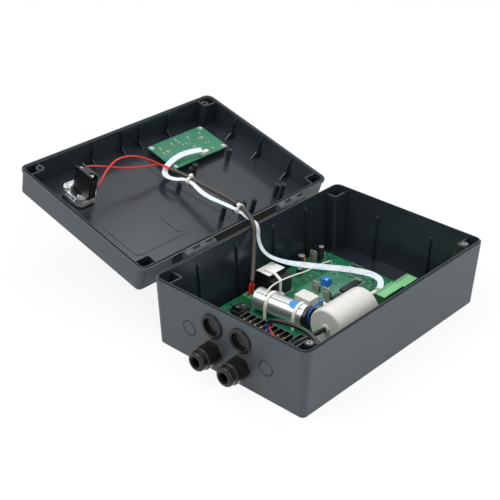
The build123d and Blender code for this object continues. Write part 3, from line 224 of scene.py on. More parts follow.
def circuit_board(name, mask, copper, pitch, area=None):
    """Glass-epoxy board under solder mask: copper shows through as lighter lines and areas."""
    def values(tree, place):
        lines = {}
        for index, (turn, step) in enumerate(((0.0, pitch), (math.pi / 2, pitch * 1.3))):
            turned = {"Vector": place, "Rotation": (0, 0, turn), "Location": (0.0013, 0.0007, 0)}
            turned = add_node(tree, "Mapping", turned)
            bricks = {
                "Vector": turned, "Scale": 1.0, "Mortar Size": 0.00022, "Mortar Smooth": 0.1,
                "Brick Width": step * 9 * MM, "Row Height": step * MM, "Color1": (0, 0, 0, 1),
                "Color2": (0, 0, 0, 1), "Mortar": (1, 1, 1, 1),
            }
            blots = add_node(tree, "TexNoise", {"Vector": turned, "Scale": 1 / (16 * MM), "Detail": 1.0})
            where = add_node(tree, "MapRange", {0: blots, 1: 0.5, 2: 0.54})
            bricks = add_node(tree, "TexBrick", bricks)
            lines[index] = add_node(tree, "Math", {0: bricks, 1: where}, operation="MULTIPLY")
        crossing = add_node(tree, "Math", lines, operation="MAXIMUM")
        cells = {"Vector": place, "Scale": 1 / (13 * MM), "Randomness": 0.9}
        cells = add_node(tree, "TexVoronoi", cells, "Color", distance="CHEBYCHEV")
        pour = add_node(tree, "MapRange", {0: cells, 1: 0.52, 2: 0.56})
        ground = add_node(tree, "Mix", {0: pour, 6: mask, 7: toned(mask, 1.18)}, 2, data_type="RGBA")
        if area:
            middle, half, colour = area
            part = place
            for operation, other in (("SUBTRACT", middle), ("DIVIDE", half), ("ABSOLUTE", (0, 0, 0))):
                part = add_node(tree, "VectorMath", {0: part, 1: other}, operation=operation)
            part = add_node(tree, "SeparateXYZ", {0: part}, None).outputs
            larger = add_node(tree, "Math", {0: part[0], 1: part[1]}, operation="MAXIMUM")
            bare = add_node(tree, "MapRange", {0: larger, 1: 0.985, 2: 1.0, 3: 1.0, 4: 0.0})
            ground = add_node(tree, "Mix", {0: bare, 6: ground, 7: colour}, 2, data_type="RGBA")
        sheen = add_node(tree, "TexNoise", {"Vector": place, "Scale": 1 / (8 * MM)})
        relief = {"Height": crossing, "Strength": 0.5, "Distance": 0.04 * MM}
        return {
            "Base Color": add_node(tree, "Mix", {0: crossing, 6: ground, 7: copper}, 2, data_type="RGBA"),
            "Roughness": add_node(tree, "MapRange", {0: sheen, 1: 0.3, 2: 0.7, 3: 0.3, 4: 0.42}),
            "IOR": 1.5,
            "Normal": add_node(tree, "Bump", relief),
        }
    return make_material(name, values)


def ribbon_jacket(pitch):
    """Flat cable of moulded PVC: white cores side by side, most with a broken light blue line."""
    def values(tree, place):
        across, along = (add_node(tree, "Attribute", {}, "Fac", attribute_name=name)
                         for name in ("across", "along"))
        cores = add_node(tree, "Math", {0: across, 1: 1 / pitch, 2: 20.0}, operation="MULTIPLY_ADD")
        offset = cores
        for operation, other in (("FRACT", 0.0), ("SUBTRACT", 0.5), ("ABSOLUTE", 0.0)):
            offset = add_node(tree, "Math", {0: offset, 1: other}, operation=operation)
        line = add_node(tree, "MapRange", {0: offset, 1: 0.1, 2: 0.2, 3: 1.0, 4: 0.0})
        core = add_node(tree, "Math", {0: cores}, operation="FLOOR")
        step = add_node(tree, "Math", {0: core, 1: 3.7}, operation="MULTIPLY")
        run = add_node(tree, "Math", {0: along, 1: 1 / (9 * MM)}, operation="MULTIPLY")
        spot = add_node(tree, "CombineXYZ", {0: run, 1: step})
        broken = add_node(tree, "TexNoise", {"Vector": spot, "Scale": 1.0, "Detail": 1.0})
        dashes = add_node(tree, "MapRange", {0: broken, 1: 0.47, 2: 0.53})
        marks = add_node(tree, "Math", {0: line, 1: dashes}, operation="MULTIPLY")
        colours = {0: marks, 6: linear("#eef0f1"), 7: linear("#6fbdec")}
        fine = add_node(tree, "TexNoise", {"Vector": place, "Scale": 1 / (1.1 * MM)})
        return {
            "Base Color": add_node(tree, "Mix", colours, 2, data_type="RGBA"),
            "Roughness": add_node(tree, "MapRange", {0: fine, 1: 0.3, 2: 0.7, 3: 0.4, 4: 0.5}),
            "IOR": 1.53,
            "Normal": add_node(tree, "Bump", {"Height": fine, "Strength": 0.4, "Distance": 0.03 * MM}),
        }
    return make_material("pvc_ribbon", values)


# Each finish has its colour, its roughness and what sets it apart from a plain moulding
FINISHES = {
    # Glass-filled nylon of the glands: near black, a little waxy
    "moulded_nylon": ("#1a1714", 0.25, dict(ior=1.4, grain=0.4, depth=0.012, edge=0.3)),
    # EPDM rubber of the grommets and seals: black, smooth from its mould, soft highlights; the same black is
    # painted shade on the knockouts, the lid's mould lines and the collar's slots
    "moulded_epdm_rubber_and_painted_shade": ("#0d0d0e", 0.22, dict(ior=1.4, grain=0.6, edge=0.3)),
    # Foamed EPDM cord of the gasket: brownish black and matt
    "foamed_epdm_cord": ("#3b3129", 0.7, dict(grain=0.7, depth=0.04, tone=0.15)),
    # Near-black matt ABS on the hinge where hardly any light comes: painted shade
    "hinge_painted_shade": ("#0b0d0f", 0.6, dict(ior=1.3, grain=0.4)),
    # Zinc-plated steel: bright, faintly blue, worn dull in patches
    "zinc_plated_steel": ("#c6c8ca", 0.3, dict(metallic=1.0, grain=0.25, depth=0.006, tone=0.1, patch=4.0)),
    # Tin-plated steel tabs of power parts: a warm grey, half dull
    "tin_plated_steel": ("#b9b4a8", 0.42, dict(metallic=0.7, grain=0.3, depth=0.008, tone=0.12, patch=3.0)),
    # Tin-lead solder: bright beads with a slightly frosted skin
    "tinned_solder": ("#dcdedd", 0.34, dict(metallic=0.7, grain=0.3, patch=1.5)),
    # Hand-made solder joints under old flux: pinkish grey, half matt
    "fluxed_solder": ("#c2aca4", 0.45, dict(metallic=0.6, grain=0.3, depth=0.02, tone=0.12, patch=1.5)),
    # Nickel-plated brass of the threaded inserts: dull, yellowish silver
    "nickel_plated_brass": ("#aaa79d", 0.38, dict(metallic=0.9, grain=0.2, depth=0.006, patch=3.0)),
    # Turned brass of the strip screws
    "turned_brass": ("#cdb48a", 0.28, dict(metallic=1.0, grain=0.2, depth=0.006, patch=3.0)),
    # Die-cast zinc of the stop's collar: pale grey, slightly rough
    "die_cast_zinc": ("#d3d6d6", 0.38, dict(metallic=0.75, depth=0.03, tone=0.12, edge=0.3)),
    # Drawn aluminium cans: bright, with faint lines along the length that widen the highlights
    "drawn_aluminium": ("#cdd0d2", 0.3, dict(metallic=0.8, grain=0.9, depth=0.002, tone=0.03, spread=0.03,
                                             patch=20.0, stretch=(0.03, 1.0, 1.0))),
    # A dark band along the can: painted reflection, duller and darker than its wall
    "painted_reflection_grey": ("#70757a", 0.35, dict(metallic=0.6, tone=0.15, patch=6.0)),
    # Black polyamide of terminals, switch and contact block; its edges catch the light
    "moulded_polyamide_black": ("#151618", 0.34, dict(grain=0.35, depth=0.012, edge=0.3)),
    # The same polyamide made lighter grey along the strip's wall edges: painted highlights
    "polyamide_painted_edge_highlight": ("#7d8184", 0.4, dict(grain=0.3, tone=0.2, patch=2.0)),
    # Light green polyamide of pluggable terminals
    "moulded_polyamide_green": ("#7cc48a", 0.4, dict(grain=0.4, tone=0.05, edge=0.15)),
    # Deeper green polyamide of the soldered stop terminal
    "moulded_polyamide_leaf": ("#3f9157", 0.38, dict(grain=0.4, tone=0.06, edge=0.2)),
    # Dark green polyamide of the soldered headers; on the plugs' wire side and end the same dark green is
    # painted shade
    "dark_green_polyamide_and_painted_shade": ("#1e5a2c", 0.45, dict(grain=0.4, tone=0.06)),
    # The shadowed inside of wire entries and screw wells
    "shadowed_polyamide": ("#123018", 0.6, dict(grain=0.4)),
    # White PBT of the relay and potting cases: slightly warm
    "moulded_pbt_white": ("#dcdcd5", 0.42, dict(grain=0.4, tone=0.03, edge=0.2)),
    # Black PBT case of the mains transformer, satin with soft edges
    "moulded_pbt_black": ("#121315", 0.36, dict(grain=0.6, depth=0.015, edge=0.3)),
    # Natural nylon of cable ties: milky
    "natural_nylon": ("#e9e6dc", 0.38, dict(tone=0.03, edge=0.15)),
    # Coated white paper of the labels, left without print
    "coated_label_paper": ("#ecebe8", 0.5, dict(grain=0.8, depth=0.006, tone=0.03)),
    # Heat-shrunk white PVC film over the motor capacitor: glossy, slightly wavy
    "shrunk_pvc_film": ("#dddcd6", 0.3, dict(grain=9.0, depth=0.09, tone=0.02, spread=0.04, patch=30.0,
                                             stretch=(1.0, 0.35, 1.0))),
    # Moulded epoxy of chips and transistors: black and matt
    "moulded_epoxy": ("#1c1d1f", 0.45, dict(grain=0.2, edge=0.1)),
    # Fired ceramic of the small capacitors: dull tan
    "ceramic_tan": ("#a48d6b", 0.5, dict(grain=0.2)),
    # Printed ink of the board's outlines: off-white, matt
    "silk_screen_ink": ("#dfe8e0", 0.55, dict(grain=0.3, tone=0.05)),
    # Lacquer on the can's patch and on the aerial's wire: a thin, shiny colour
    "lacquer_blue": ("#2f8ce0", 0.3, dict(grain=0.6)),
    "lacquered_wire_green": ("#3c8f68", 0.4, dict(grain=0.4)),
    # Polyester case of the trimmer, and the print on a capacitor's sleeve
    "trimmer_blue": ("#1f78d0", 0.35, dict(grain=0.4, tone=0.05, edge=0.1)),
    "sleeve_stripe_orange": ("#d9822b", 0.4, dict(grain=0.4)),
    # PVC of the wires, the capacitor's jacket and the stop circuit's sleeve: soft, half matt
    "pvc_insulation_blue": ("#1d4fc0", 0.35, dict(tone=0.05)),
    "pvc_insulation_red": ("#e02a22", 0.35, dict(tone=0.05)),
    "pvc_insulation_white": ("#f0ead9", 0.4, dict(tone=0.03)),
    "pvc_jacket_black": ("#1c1a19", 0.32, dict(grain=0.8, depth=0.02, tone=0.12)),
    "pvc_sleeve_brown_grey": ("#3b342f", 0.42, dict(grain=0.7, depth=0.04, tone=0.16, patch=5.0)),
    # Moulded polyamide of the buttons and the mushroom head, and the lamps' clear lenses
    "button_green": ("#2f9e57", 0.35, dict(edge=0.2)),
    "button_red": ("#c8281f", 0.35, dict(edge=0.2)),
    "button_grey": ("#9aa0a6", 0.35, dict(edge=0.2)),
    "stop_head_red": ("#c4161c", 0.32, dict(edge=0.4)),
    "lamp_lens": ("#d8452e", 0.2, dict(edge=0.1)),
}


def finish_of(name):
    """The material of a named finish."""
    if name in FINISHES:
        colour, roughness, details = FINISHES[name]
        return surface(name, colour, roughness, **details)
    return bpy.data.materials[name]


# Mesh building

def at(x, y, z):
    """A shift to a place in millimetres."""
    return Matrix.Translation(Vector((x, y, z)) * MM)


def aimed(x, y, z, direction=(0, 0, 1), spin=0.0):
    """A matrix whose Z runs along a direction, turned about it by a spin, from a place in millimetres."""
    turn = Vector(direction).to_track_quat("Z", "Y").to_matrix().to_4x4()
    return at(x, y, z) @ turn @ Matrix.Rotation(spin, 4, "Z")


def in_lid(x, y, z, spin=0.0):
    """A matrix that faces into the box from a place of the lid."""
    return OPEN_LID @ aimed(x, y, z, (0, 0, -1), spin)


def break_edges(bm, edges, width, segments):
    bmesh.ops.bevel(bm, geom=list(edges), offset=width * MM, offset_type="OFFSET", segments=segments,
                    profile=0.5, affect="EDGES", clamp_overlap=True, material=-1)


def add_block(bm, low, high, bevel=0.0, matrix=Matrix.Identity(4)):
    """A block between two corners in millimetres, with its edges broken."""
    middle = [(a + b) / 2 for a, b in zip(low, high)]
    size = Matrix.Diagonal((*[(b - a) * MM for a, b in zip(low, high)], 1.0))
    made = bmesh.ops.create_cube(bm, size=1.0, matrix=matrix @ at(*middle) @ size)["verts"]
    if bevel:
        break_edges(bm, {edge for vert in made for edge in vert.link_edges}, bevel, 2)


def add_drum(bm, matrix, radius, height, bevel=0.0, segments=32):
    """A round bar that stands on a frame's origin, with its top rim broken."""
    shifted = matrix @ Matrix.Translation((0, 0, height * MM / 2))
    made = bmesh.ops.create_cone(bm, cap_ends=True, cap_tris=False, segments=segments, radius1=radius * MM,
                                 radius2=radius * MM, depth=height * MM, matrix=shifted)["verts"]
    if bevel:
        upward = (matrix.to_3x3() @ Vector((0, 0, 1))).normalized()
        level = max(upward.dot(vert.co) for vert in made) - 1e-6
        rim = {edge for vert in made for edge in vert.link_edges
               if all(upward.dot(end.co) > level for end in edge.verts)}
        break_edges(bm, rim, bevel, 3)


def add_turned(bm, matrix, profile, segments=64):
    """A turned shape from a profile of (radius, height) in millimetres, closed at the axis."""
    known = set(bm.verts)
    verts = [bm.verts.new((radius * MM, 0, height * MM)) for radius, height in profile]
    edges = [bm.edges.new(pair) for pair in zip(verts, verts[1:])]
    bmesh.ops.spin(bm, geom=verts + edges, cent=(0, 0, 0), axis=(0, 0, 1), dvec=(0, 0, 0),
                   angle=2 * math.pi, steps=segments, use_merge=True, use_duplicate=False)
    bmesh.ops.remove_doubles(bm, verts=[vert for vert in bm.verts if vert not in known], dist=1e-7)
    body = [vert for vert in bm.verts if vert not in known]
    bmesh.ops.recalc_face_normals(bm, faces=list({face for vert in body for face in vert.link_faces}))
    bmesh.ops.transform(bm, matrix=matrix, verts=body)


def flat_ring(inner, outer, low, high):
    """The profile of a ring with a square section."""
    return [(inner, low), (outer, low), (outer, high), (inner, high), (inner, low)]


def add_bar(bm, start, end, width, low, high, matrix=Matrix.Identity(4)):
    """A flat bar between two places of a plane, from one height to another."""
    start, end = Vector((*start, 0)), Vector((*end, 0))
    run = end - start
    half = (run.length + width) / 2
    place = matrix @ at(*((start + end) / 2)) @ Matrix.Rotation(math.atan2(run.y, run.x), 4, "Z")
    add_block(bm, (-half, -width / 2, low), (half, width / 2, high), 0.0, place)


def add_wrap(bm, matrix, radius, angles, heights, thickness, rounded=0.0):
    """A sheet wrapped round a bar between two angles and heights; its low end can be rounded."""
    made = bmesh.ops.create_grid(bm, x_segments=18, y_segments=12, size=0.5)["verts"]
    middle, half = (angles[0] + angles[1]) / 2, (angles[1] - angles[0]) / 2
    for vert in made:
        across, along = vert.co.x * 2, vert.co.y + 0.5
        start = heights[0] + rounded * (1 - math.sqrt(max(1 - across * across, 0.0)))
        angle = math.radians(middle + across * half)
        height = start + along * (heights[1] - start)
        vert.co = Vector((radius * math.cos(angle), radius * math.sin(angle), height)) * MM
    faces = list({face for vert in made for face in vert.link_faces})
    for face in faces:
        face.normal_update()
        if face.normal.xy.dot(face.calc_center_median().xy) < 0:
            face.normal_flip()
    bmesh.ops.transform(bm, matrix=matrix, verts=made)
    bmesh.ops.solidify(bm, geom=faces, thickness=-thickness * MM)


def add_copies(bm, mesh, *matrices):
    """Adds a copy of a mesh at each frame."""
    for matrix in matrices:
        known = set(bm.verts)
        bm.from_mesh(mesh)
        bmesh.ops.transform(bm, matrix=matrix, verts=[vert for vert in bm.verts if vert not in known])


def linked(name, data):
    """A new object in the scene."""
    piece = bpy.data.objects.new(name, data)
    bpy.context.scene.collection.objects.link(piece)
    return piece


def as_object(name, bm):
    """An object with the mesh of a bmesh, which is used up."""
    mesh = bpy.data.meshes.new(name)
    bm.to_mesh(mesh)
    bm.free()
    return linked(name, mesh)


def final_mesh(piece):
    """The mesh of an object as its modifiers or its curve's thickness make it."""
    bpy.context.view_layer.update()
    return bpy.data.meshes.new_from_object(piece.evaluated_get(bpy.context.evaluated_depsgraph_get()))


def finish_piece(name, bm, body, finish, nodes=(), smooth=35.0):
    """Turns a bmesh into a piece that rides on a body."""
    piece = as_object(name, bm)
    piece.data.materials.append(finish_of(finish))
    if smooth:
        piece.data.shade_smooth()
        piece.data.set_sharp_from_angle(angle=math.radians(smooth))
    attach(piece, body)
    if nodes:
        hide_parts(*nodes)


def dress(finish, *nodes):
    """Gives a finish to CAD nodes that keep their own shape."""
    for name in nodes:
        mesh = frame["nodes"][name].data
        mesh.materials.clear()
        mesh.materials.append(finish_of(finish))


def cut_mesh(body, tool):
    """The mesh of one bmesh with another cut out of it; both are used up."""
    holders = [as_object(name, bm) for name, bm in (("cut_body", body), ("cut_tool", tool))]
    cut = holders[0].modifiers.new("cut", "BOOLEAN")
    cut.object = holders[1]
    cut.operation = "DIFFERENCE"
    cut.solver = "EXACT"
    cut.use_self = True
    result = final_mesh(holders[0])
    for holder in holders:
        bpy.data.objects.remove(holder)
    return result


def cross_screw(radius, height, shank, length):
    """A pan-head screw mesh with a real cross recess, standing on its head's seat."""
    head, tool = bmesh.new(), bmesh.new()
    profile = [(0, -length), (shank, -length), (shank, 0), (radius, 0), (radius, height * 0.35),
               (radius * 0.86, height * 0.8), (radius * 0.5, height), (0, height)]
    add_turned(head, Matrix.Identity(4), profile, 24)
    arm, half = radius * 0.62, radius * 0.13
    add_block(tool, (-arm, -half, height * 0.4), (arm, half, height * 2))
    add_block(tool, (-half, -arm, height * 0.4), (half, arm, height * 2))
    return cut_mesh(head, tool)


# Cables

def route_curve(name, points, radius, material, tilts=(), gathers=()):
    """A smooth curve whose control points are the route's points, in millimetres."""
    curve = bpy.data.curves.new(name, "CURVE")
    curve.dimensions = "3D"
    curve.resolution_u = 12
    curve.bevel_depth = radius * MM
    curve.bevel_resolution = 6
    curve.use_fill_caps = True
    curve.materials.append(material)
    spline = curve.splines.new("NURBS")
    spline.points.add(len(points) - 1)
    for point, place in zip(spline.points, points):
        point.co = (*[part * MM for part in place], 1.0)
    for point, tilt, gather in zip(spline.points, tilts, gathers):
        point.tilt = math.radians(tilt)
        point.radius = gather
    spline.order_u = 3
    spline.use_endpoint_u = True
    return linked(name, curve)


def centre_line(piece):
    """The points of a route's own curve, without its thickness, and its length."""
    curve = piece.data
    depth, curve.bevel_depth = curve.bevel_depth, 0.0
    line = final_mesh(piece)
    points = [vert.co.copy() for vert in line.vertices]
    curve.bevel_depth = depth
    bpy.data.meshes.remove(line)
    return points, sum((b - a).length for a, b in zip(points, points[1:]))


def solid_cable(piece, path=(), section=()):
    """A mesh piece in the shape of a bevelled curve; with a section it keeps its places across and along."""
    name, mesh = piece.name, final_mesh(piece)
    if section:
        runs = [0.0]
        for before, after in zip(path, path[1:]):
            runs.append(runs[-1] + (after - before).length)
        across, along = (mesh.attributes.new(layer, "FLOAT", "POINT").name for layer in ("across", "along"))
        for index in range(len(mesh.vertices)):
            ring, spot = divmod(index, len(section))
            mesh.attributes[across].data[index].value = section[spot]
            mesh.attributes[along].data[index].value = runs[min(ring, len(runs) - 1)]
    bpy.data.objects.remove(piece)
    bm = bmesh.new()
    bm.from_mesh(mesh)
    bmesh.ops.remove_doubles(bm, verts=bm.verts[:], dist=1e-7)
    bmesh.ops.recalc_face_normals(bm, faces=bm.faces[:])
    bm.to_mesh(mesh)
    bm.free()
    mesh.shade_smooth()
    return linked(name, mesh)


STOP_CABLE = (
    (-262.0, 13.5, 106.0), (-246.0, 19.0, 102.0), (-219.0, 18.0, 100.0), (-188.5, 19.5, 96.6),
    (-158.5, 18.5, 94.4), (-133.0, 12.5, 93.6), (-102.8, -3.5, 93.2), (-98.2, -8.0, 73.3),
    (-86.3, -22.0, 54.7), (-72.6, -39.5, 38.6),
)
RIBBON = (
    (-269.5, 79.5, 108.0), (-274.5, 64.0, 109.0), (-276.0, 45.0, 109.5), (-274.0, 28.0, 107.5),
    (-269.5, 12.0, 103.5), (-258.0, 1.0, 101.5), (-243.0, 3.0, 100.5), (-235.0, 12.6, 100.6),
    (-222.0, 13.9, 99.0), (-208.0, 10.5, 95.5), (-190.0, 8.5, 92.5), (-161.0, 10.5, 91.2),
    (-135.0, 10.0, 90.4), (-121.5, 5.6, 88.6), (-103.4, 4.2, 89.7), (-101.2, 2.2, 66.0),
    (-90.0, 3.5, 51.5), (-75.5, 21.5, 39.5), (-60.0, 41.5, 33.5), (-45.0, 57.5, 30.0),
    (-24.0, 72.5, 29.5), (-4.0, 81.0, 30.0), (14.0, 84.5, 30.5), (27.5, 80.0, 28.6), (30.8, 69.5, 25.5),
)
# How far the ribbon leans at each point in degrees, and how much of its width it keeps there
RIBBON_TILTS = (
    -30, -30, -28, -22, -10, 0, 10, 20, 28, 30, 30, 25, 12, 0, 0, 2, 15, 28, 36, 40, 42, 42, 34, 10, 0,
)
RIBBON_GATHERS = (
    1, 1, 1, 1, 1, 1, 0.85, 0.62, 0.62, 0.75, 0.72, 0.62, 0.6, 0.6, 0.6, 0.66, 0.78, 0.9, 1, 1, 1, 1, 1, 1, 1,
)
LONG_WIRE = (
    (-263.9, -103.0, 121.5), (-266.5, -94.5, 126.5), (-273.0, -80.0, 132.5), (-278.5, -61.0, 137.5),
    (-277.5, -43.0, 137.0), (-276.0, -25.0, 131.0), (-272.5, -6.0, 120.0), (-269.93, 9.45, 108.08),
    (-261.64, 12.3, 106.01),
)
SHORT_WIRE = (
    (-289.6, -102.0, 138.0), (-288.6, -92.5, 137.0), (-284.5, -75.0, 131.5), (-278.5, -49.0, 122.5),
    (-273.5, -20.0, 115.5), (-273.0, 0.0, 113.0), (-270.74, 11.82, 108.08), (-262.45, 14.67, 106.01),
)
ANTENNA_WIRE = (
    (-43.0, -51.0, 38.4), (-45.4, -41.0, 43.8), (-47.3, -20.0, 43.2), (-48.5, 9.0, 38.5),
    (-49.5, 28.0, 33.5), (-55.0, 52.0, 27.5), (-57.0, 75.0, 24.0), (-57.3, 91.5, 20.5),
    (-57.3, 91.5, 12.63),
)
CAPACITOR_CABLE = (
    (49.0, -55.15, 35.9), (47.5, -68.0, 36.2), (43.0, -98.0, 36.2), (44.0, -126.0, 33.5),
    (60.0, -139.0, 31.5), (81.0, -129.0, 33.5), (84.5, -108.0, 38.0), (75.0, -94.0, 43.5),
    (59.5, -90.0, 49.3), (46.5, -89.6, 51.6), (31.5, -90.2, 50.9), (17.3, -90.0, 47.8),
    (5.0, -90.0, 44.2), (-1.5, -89.8, 39.5),
)
BLUE_LEAD = (
    (-2.5, -90.8, 39.1), (-3.4, -91.4, 36.0), (-1.6, -93.0, 28.5), (-0.53, -92.0, 24.2),
    (-0.53, -87.6, 23.5),
)
RED_LEAD = (
    (-2.7, -88.6, 38.5), (-2.4, -89.2, 35.4), (2.5, -92.2, 31.0), (9.5, -94.0, 28.0),
    (15.2, -93.8, 25.4), (15.97, -91.0, 23.9), (15.97, -87.6, 23.5),
)
LINK_WIRE = (
    (14.95, -44.5, 22.6), (18.4, -44.6, 23.8), (18.0, -47.6, 31.9), (18.0, -45.0, 39.6),
    (18.0, -37.0, 43.6), (18.0, -28.0, 44.0), (15.5, -19.0, 41.5), (10.5, -12.0, 38.0),
    (7.2, -8.6, 28.0), (7.2, -8.6, 12.63),
)
# Surface-mounted parts that the photo shows, as place and kind: resistor, capacitor or transistor
SURFACE_PARTS = (
    (-61.8, 45.3, "R"), (-57.3, 45.3, "R"), (-60.5, 54.9, "C"), (-64.1, 66.3, "Q"), (-56.5, 65.0, "R"),
    (-41.8, 76.7, "Q"), (-38.2, 82.2, "R"), (-32.3, 89.9, "R"), (-28.0, 91.0, "R"), (-23.8, 91.6, "R"),
    (-29.2, 57.3, "R"), (-27.5, 59.6, "R"), (-25.8, 62.0, "R"), (-24.0, 64.3, "R"), (-19.0, 44.0, "R"),
    (-17.3, 46.1, "R"), (-15.5, 48.3, "R"), (-13.9, 96.6, "Q"), (-8.4, 99.7, "R"), (-7.4, 88.1, "R"),
    (-4.5, 90.0, "R"), (6.7, 91.1, "R"), (7.9, 82.0, "R"), (5.5, 86.0, "C"), (-80.4, 105.7, "R"),
    (-71.2, 36.5, "R"), (-65.5, 33.4, "R"),
)
# Length, width and height of each kind, and how much of either end is bare metal
PART_SIZES = {"R": (3.0, 1.5, 0.6, 0.45), "C": (2.0, 1.25, 0.9, 0.45), "Q": (3.0, 1.5, 1.1, 0.1)}
# Outlines printed on the main board, as opposite corners
PRINTED_BOXES = (
    ((-90.5, -19.5), (-55.5, 15.5)), ((-33.5, -14.0), (-6.0, 7.0)), ((-14.0, 48.0), (-3.0, 80.0)),
    ((-9.5, 26.5), (-0.5, 43.5)), ((-39.0, 44.0), (-27.0, 56.0)), ((-34.5, 21.0), (-21.5, 29.0)),
    ((-15.5, 17.5), (-2.5, 25.5)), ((-83.5, 76.0), (-70.5, 84.0)), ((22.5, 57.0), (31.5, 77.0)),
    ((32.0, 49.5), (56.5, 88.5)), ((-41.5, 106.5), (-23.5, 111.7)), ((-7.5, 3.8), (7.5, 13.5)),
    ((-17.5, 80.0), (-3.5, 87.0)),
)
# Places that the lid's fine lines run through; None ends a line
MOULD_LINES = (
    (76.0, 8.5), (29.0, 8.0), (-75.0, 28.7), None,
    (-1.3, -120.5), (-58.0, -120.5), (-61.5, -117.5), (-62.8, -113.0), (-63.0, -42.5), None,
    (-24.5, -47.8), (-52.0, -47.8), (-55.5, -46.6), (-57.2, -43.6), None,
)


# What a user would change

class ControlBoxLook(bpy.types.PropertyGroup):
    plastic_colour: FloatVectorProperty(
        name="Box colour", description="Colour of the moulded box and lid", subtype="COLOR", size=3,
        min=0.0, max=1.0, default=linear("#3f474d")[:3])
    plastic_roughness: FloatProperty(
        name="Box roughness", description="Roughness of the outer moulded skin", subtype="FACTOR", min=0.0,
        max=1.0, default=0.42)
    # The inside's colour is darker than the box's own colour: painted shade inside the box
    inside_shade_colour: FloatVectorProperty(
        name="Inside colour", description="Colour of the polished inside, darkened as painted shade", subtype="COLOR", size=3,
        min=0.0, max=1.0, default=linear("#262d33")[:3])
    inner_roughness: FloatProperty(
        name="Inside roughness", description="Roughness of the polished inside", subtype="FACTOR", min=0.0,
        max=1.0, default=0.2)
    edge_softness: FloatProperty(
        name="Edge softness", description="Radius of the softened mould edges, in millimetres", min=0.0,
        max=2.0, default=0.5)
    board_colour: FloatVectorProperty(
        name="Main board", description="Solder mask of the main board", subtype="COLOR", size=3, min=0.0,
        max=1.0, default=linear("#0b6645")[:3])
    lid_board_colour: FloatVectorProperty(
        name="Lid board", description="Solder mask of the lid board", subtype="COLOR", size=3, min=0.0,
        max=1.0, default=linear("#217053")[:3])
    ribbon_cores: IntProperty(
        name="Ribbon cores", description="Cores side by side in the flat cable", min=4, max=16, default=8)
    sleeve_diameter: FloatProperty(
        name="Sleeve", description="Thickness of the stop cable's sleeve", subtype="DISTANCE", unit="LENGTH",
        min=0.001, max=0.01, default=0.0052)
    ribbon_width: FloatProperty(
        name="Ribbon", description="Width of the flat cable", subtype="DISTANCE", unit="LENGTH", min=0.002,
        max=0.02, default=0.0076)
    key_power: FloatProperty(
        name="Key light", description="Power of the main soft light", unit="POWER", min=0.0, default=13.5)


def scene_look(context):
    """The settings that the scene keeps."""
    return context.scene.control_box_look


class BoxOperator:
    bl_options = {"REGISTER", "UNDO"}


class CONTROLBOX_OT_stage(BoxOperator, bpy.types.Operator):
    """Sets the camera at the photo's angle, soft studio lights and a plain pale floor"""
    bl_idname = "controlbox.stage"
    bl_label = "Stage"

    def execute(self, context):
        lens = bpy.data.cameras.new("photo_camera")
        lens.lens = CAMERA_LENS
        lens.sensor_width = 36.0
        context.scene.camera = linked("photo_camera", lens)
        context.scene.camera.matrix_world = (
            Matrix.Translation(CAMERA_PLACE) @ Matrix.Rotation(CAMERA_AZIMUTH, 4, "Z")
            @ Matrix.Rotation(math.pi / 2 - CAMERA_ELEVATION, 4, "X") @ Matrix.Rotation(CAMERA_ROLL, 4, "Z"))
        power = scene_look(context).key_power
        for name, place, size, share in (
            ("key_light", (-0.7, -0.9, 1.5), 1.3, 1.0), ("fill_light", (1.5, -0.5, 1.0), 1.2, 0.55),
            ("top_light", (-0.1, 0.5, 1.7), 1.4, 0.8),
        ):
            lamp = bpy.data.lights.new(name, "AREA")
            lamp.energy = power * share
            lamp.size = size
            aim = (Vector((-0.05, 0, 0.05)) - Vector(place)).to_track_quat("-Z", "Y")
            linked(name, lamp).matrix_world = Matrix.Translation(place) @ aim.to_matrix().to_4x4()
        self.add_floor()
        self.light_world(context)
        context.scene.view_settings.view_transform = "Standard"
        return {"FINISHED"}

    def add_floor(self):
        """A plain floor that keeps the shadow and looks white to the camera and in reflections."""
        def paint(tree, place):
            rays = add_node(tree, "LightPath", output=None).outputs
            seen = {0: rays["Is Camera Ray"], 1: rays["Is Glossy Ray"]}
            seen = add_node(tree, "Math", seen, operation="MAXIMUM")
            share = add_node(tree, "Math", {0: seen, 1: 0.88}, operation="MULTIPLY")
            matt = add_node(tree, "BsdfDiffuse", {"Color": linear("#f4f4f4"), "Roughness": 1.0})
            glow = add_node(tree, "Emission", {"Color": (1, 1, 1, 1), "Strength": 1.0})
            return add_node(tree, "MixShader", {0: share, 1: matt, 2: glow})
        bm = bmesh.new()
        bmesh.ops.create_grid(bm, x_segments=1, y_segments=1, size=6.0, matrix=at(0, 0, -0.2))
        floor = as_object("floor", bm)
        floor.data.materials.append(make_material("painted_backdrop", paint))

    def light_world(self, context):
        """An even light all round, white to the camera, in reflections and through clear things."""
        world = bpy.data.worlds.new("studio")
        context.scene.world = world
        world.use_nodes = True
        tree = world.node_tree
        tree.nodes.clear()
        rays = add_node(tree, "LightPath", output=None).outputs
        seen = rays["Is Camera Ray"]
        for other in ("Is Transmission Ray", "Is Glossy Ray"):
            seen = add_node(tree, "Math", {0: seen, 1: rays[other]}, operation="MAXIMUM")
        strength = add_node(tree, "MapRange", {0: seen, 3: 0.6})
        glow = add_node(tree, "Background", {"Color": (1, 1, 1, 1), "Strength": strength})
        add_node(tree, "OutputWorld", {"Surface": glow}, None)


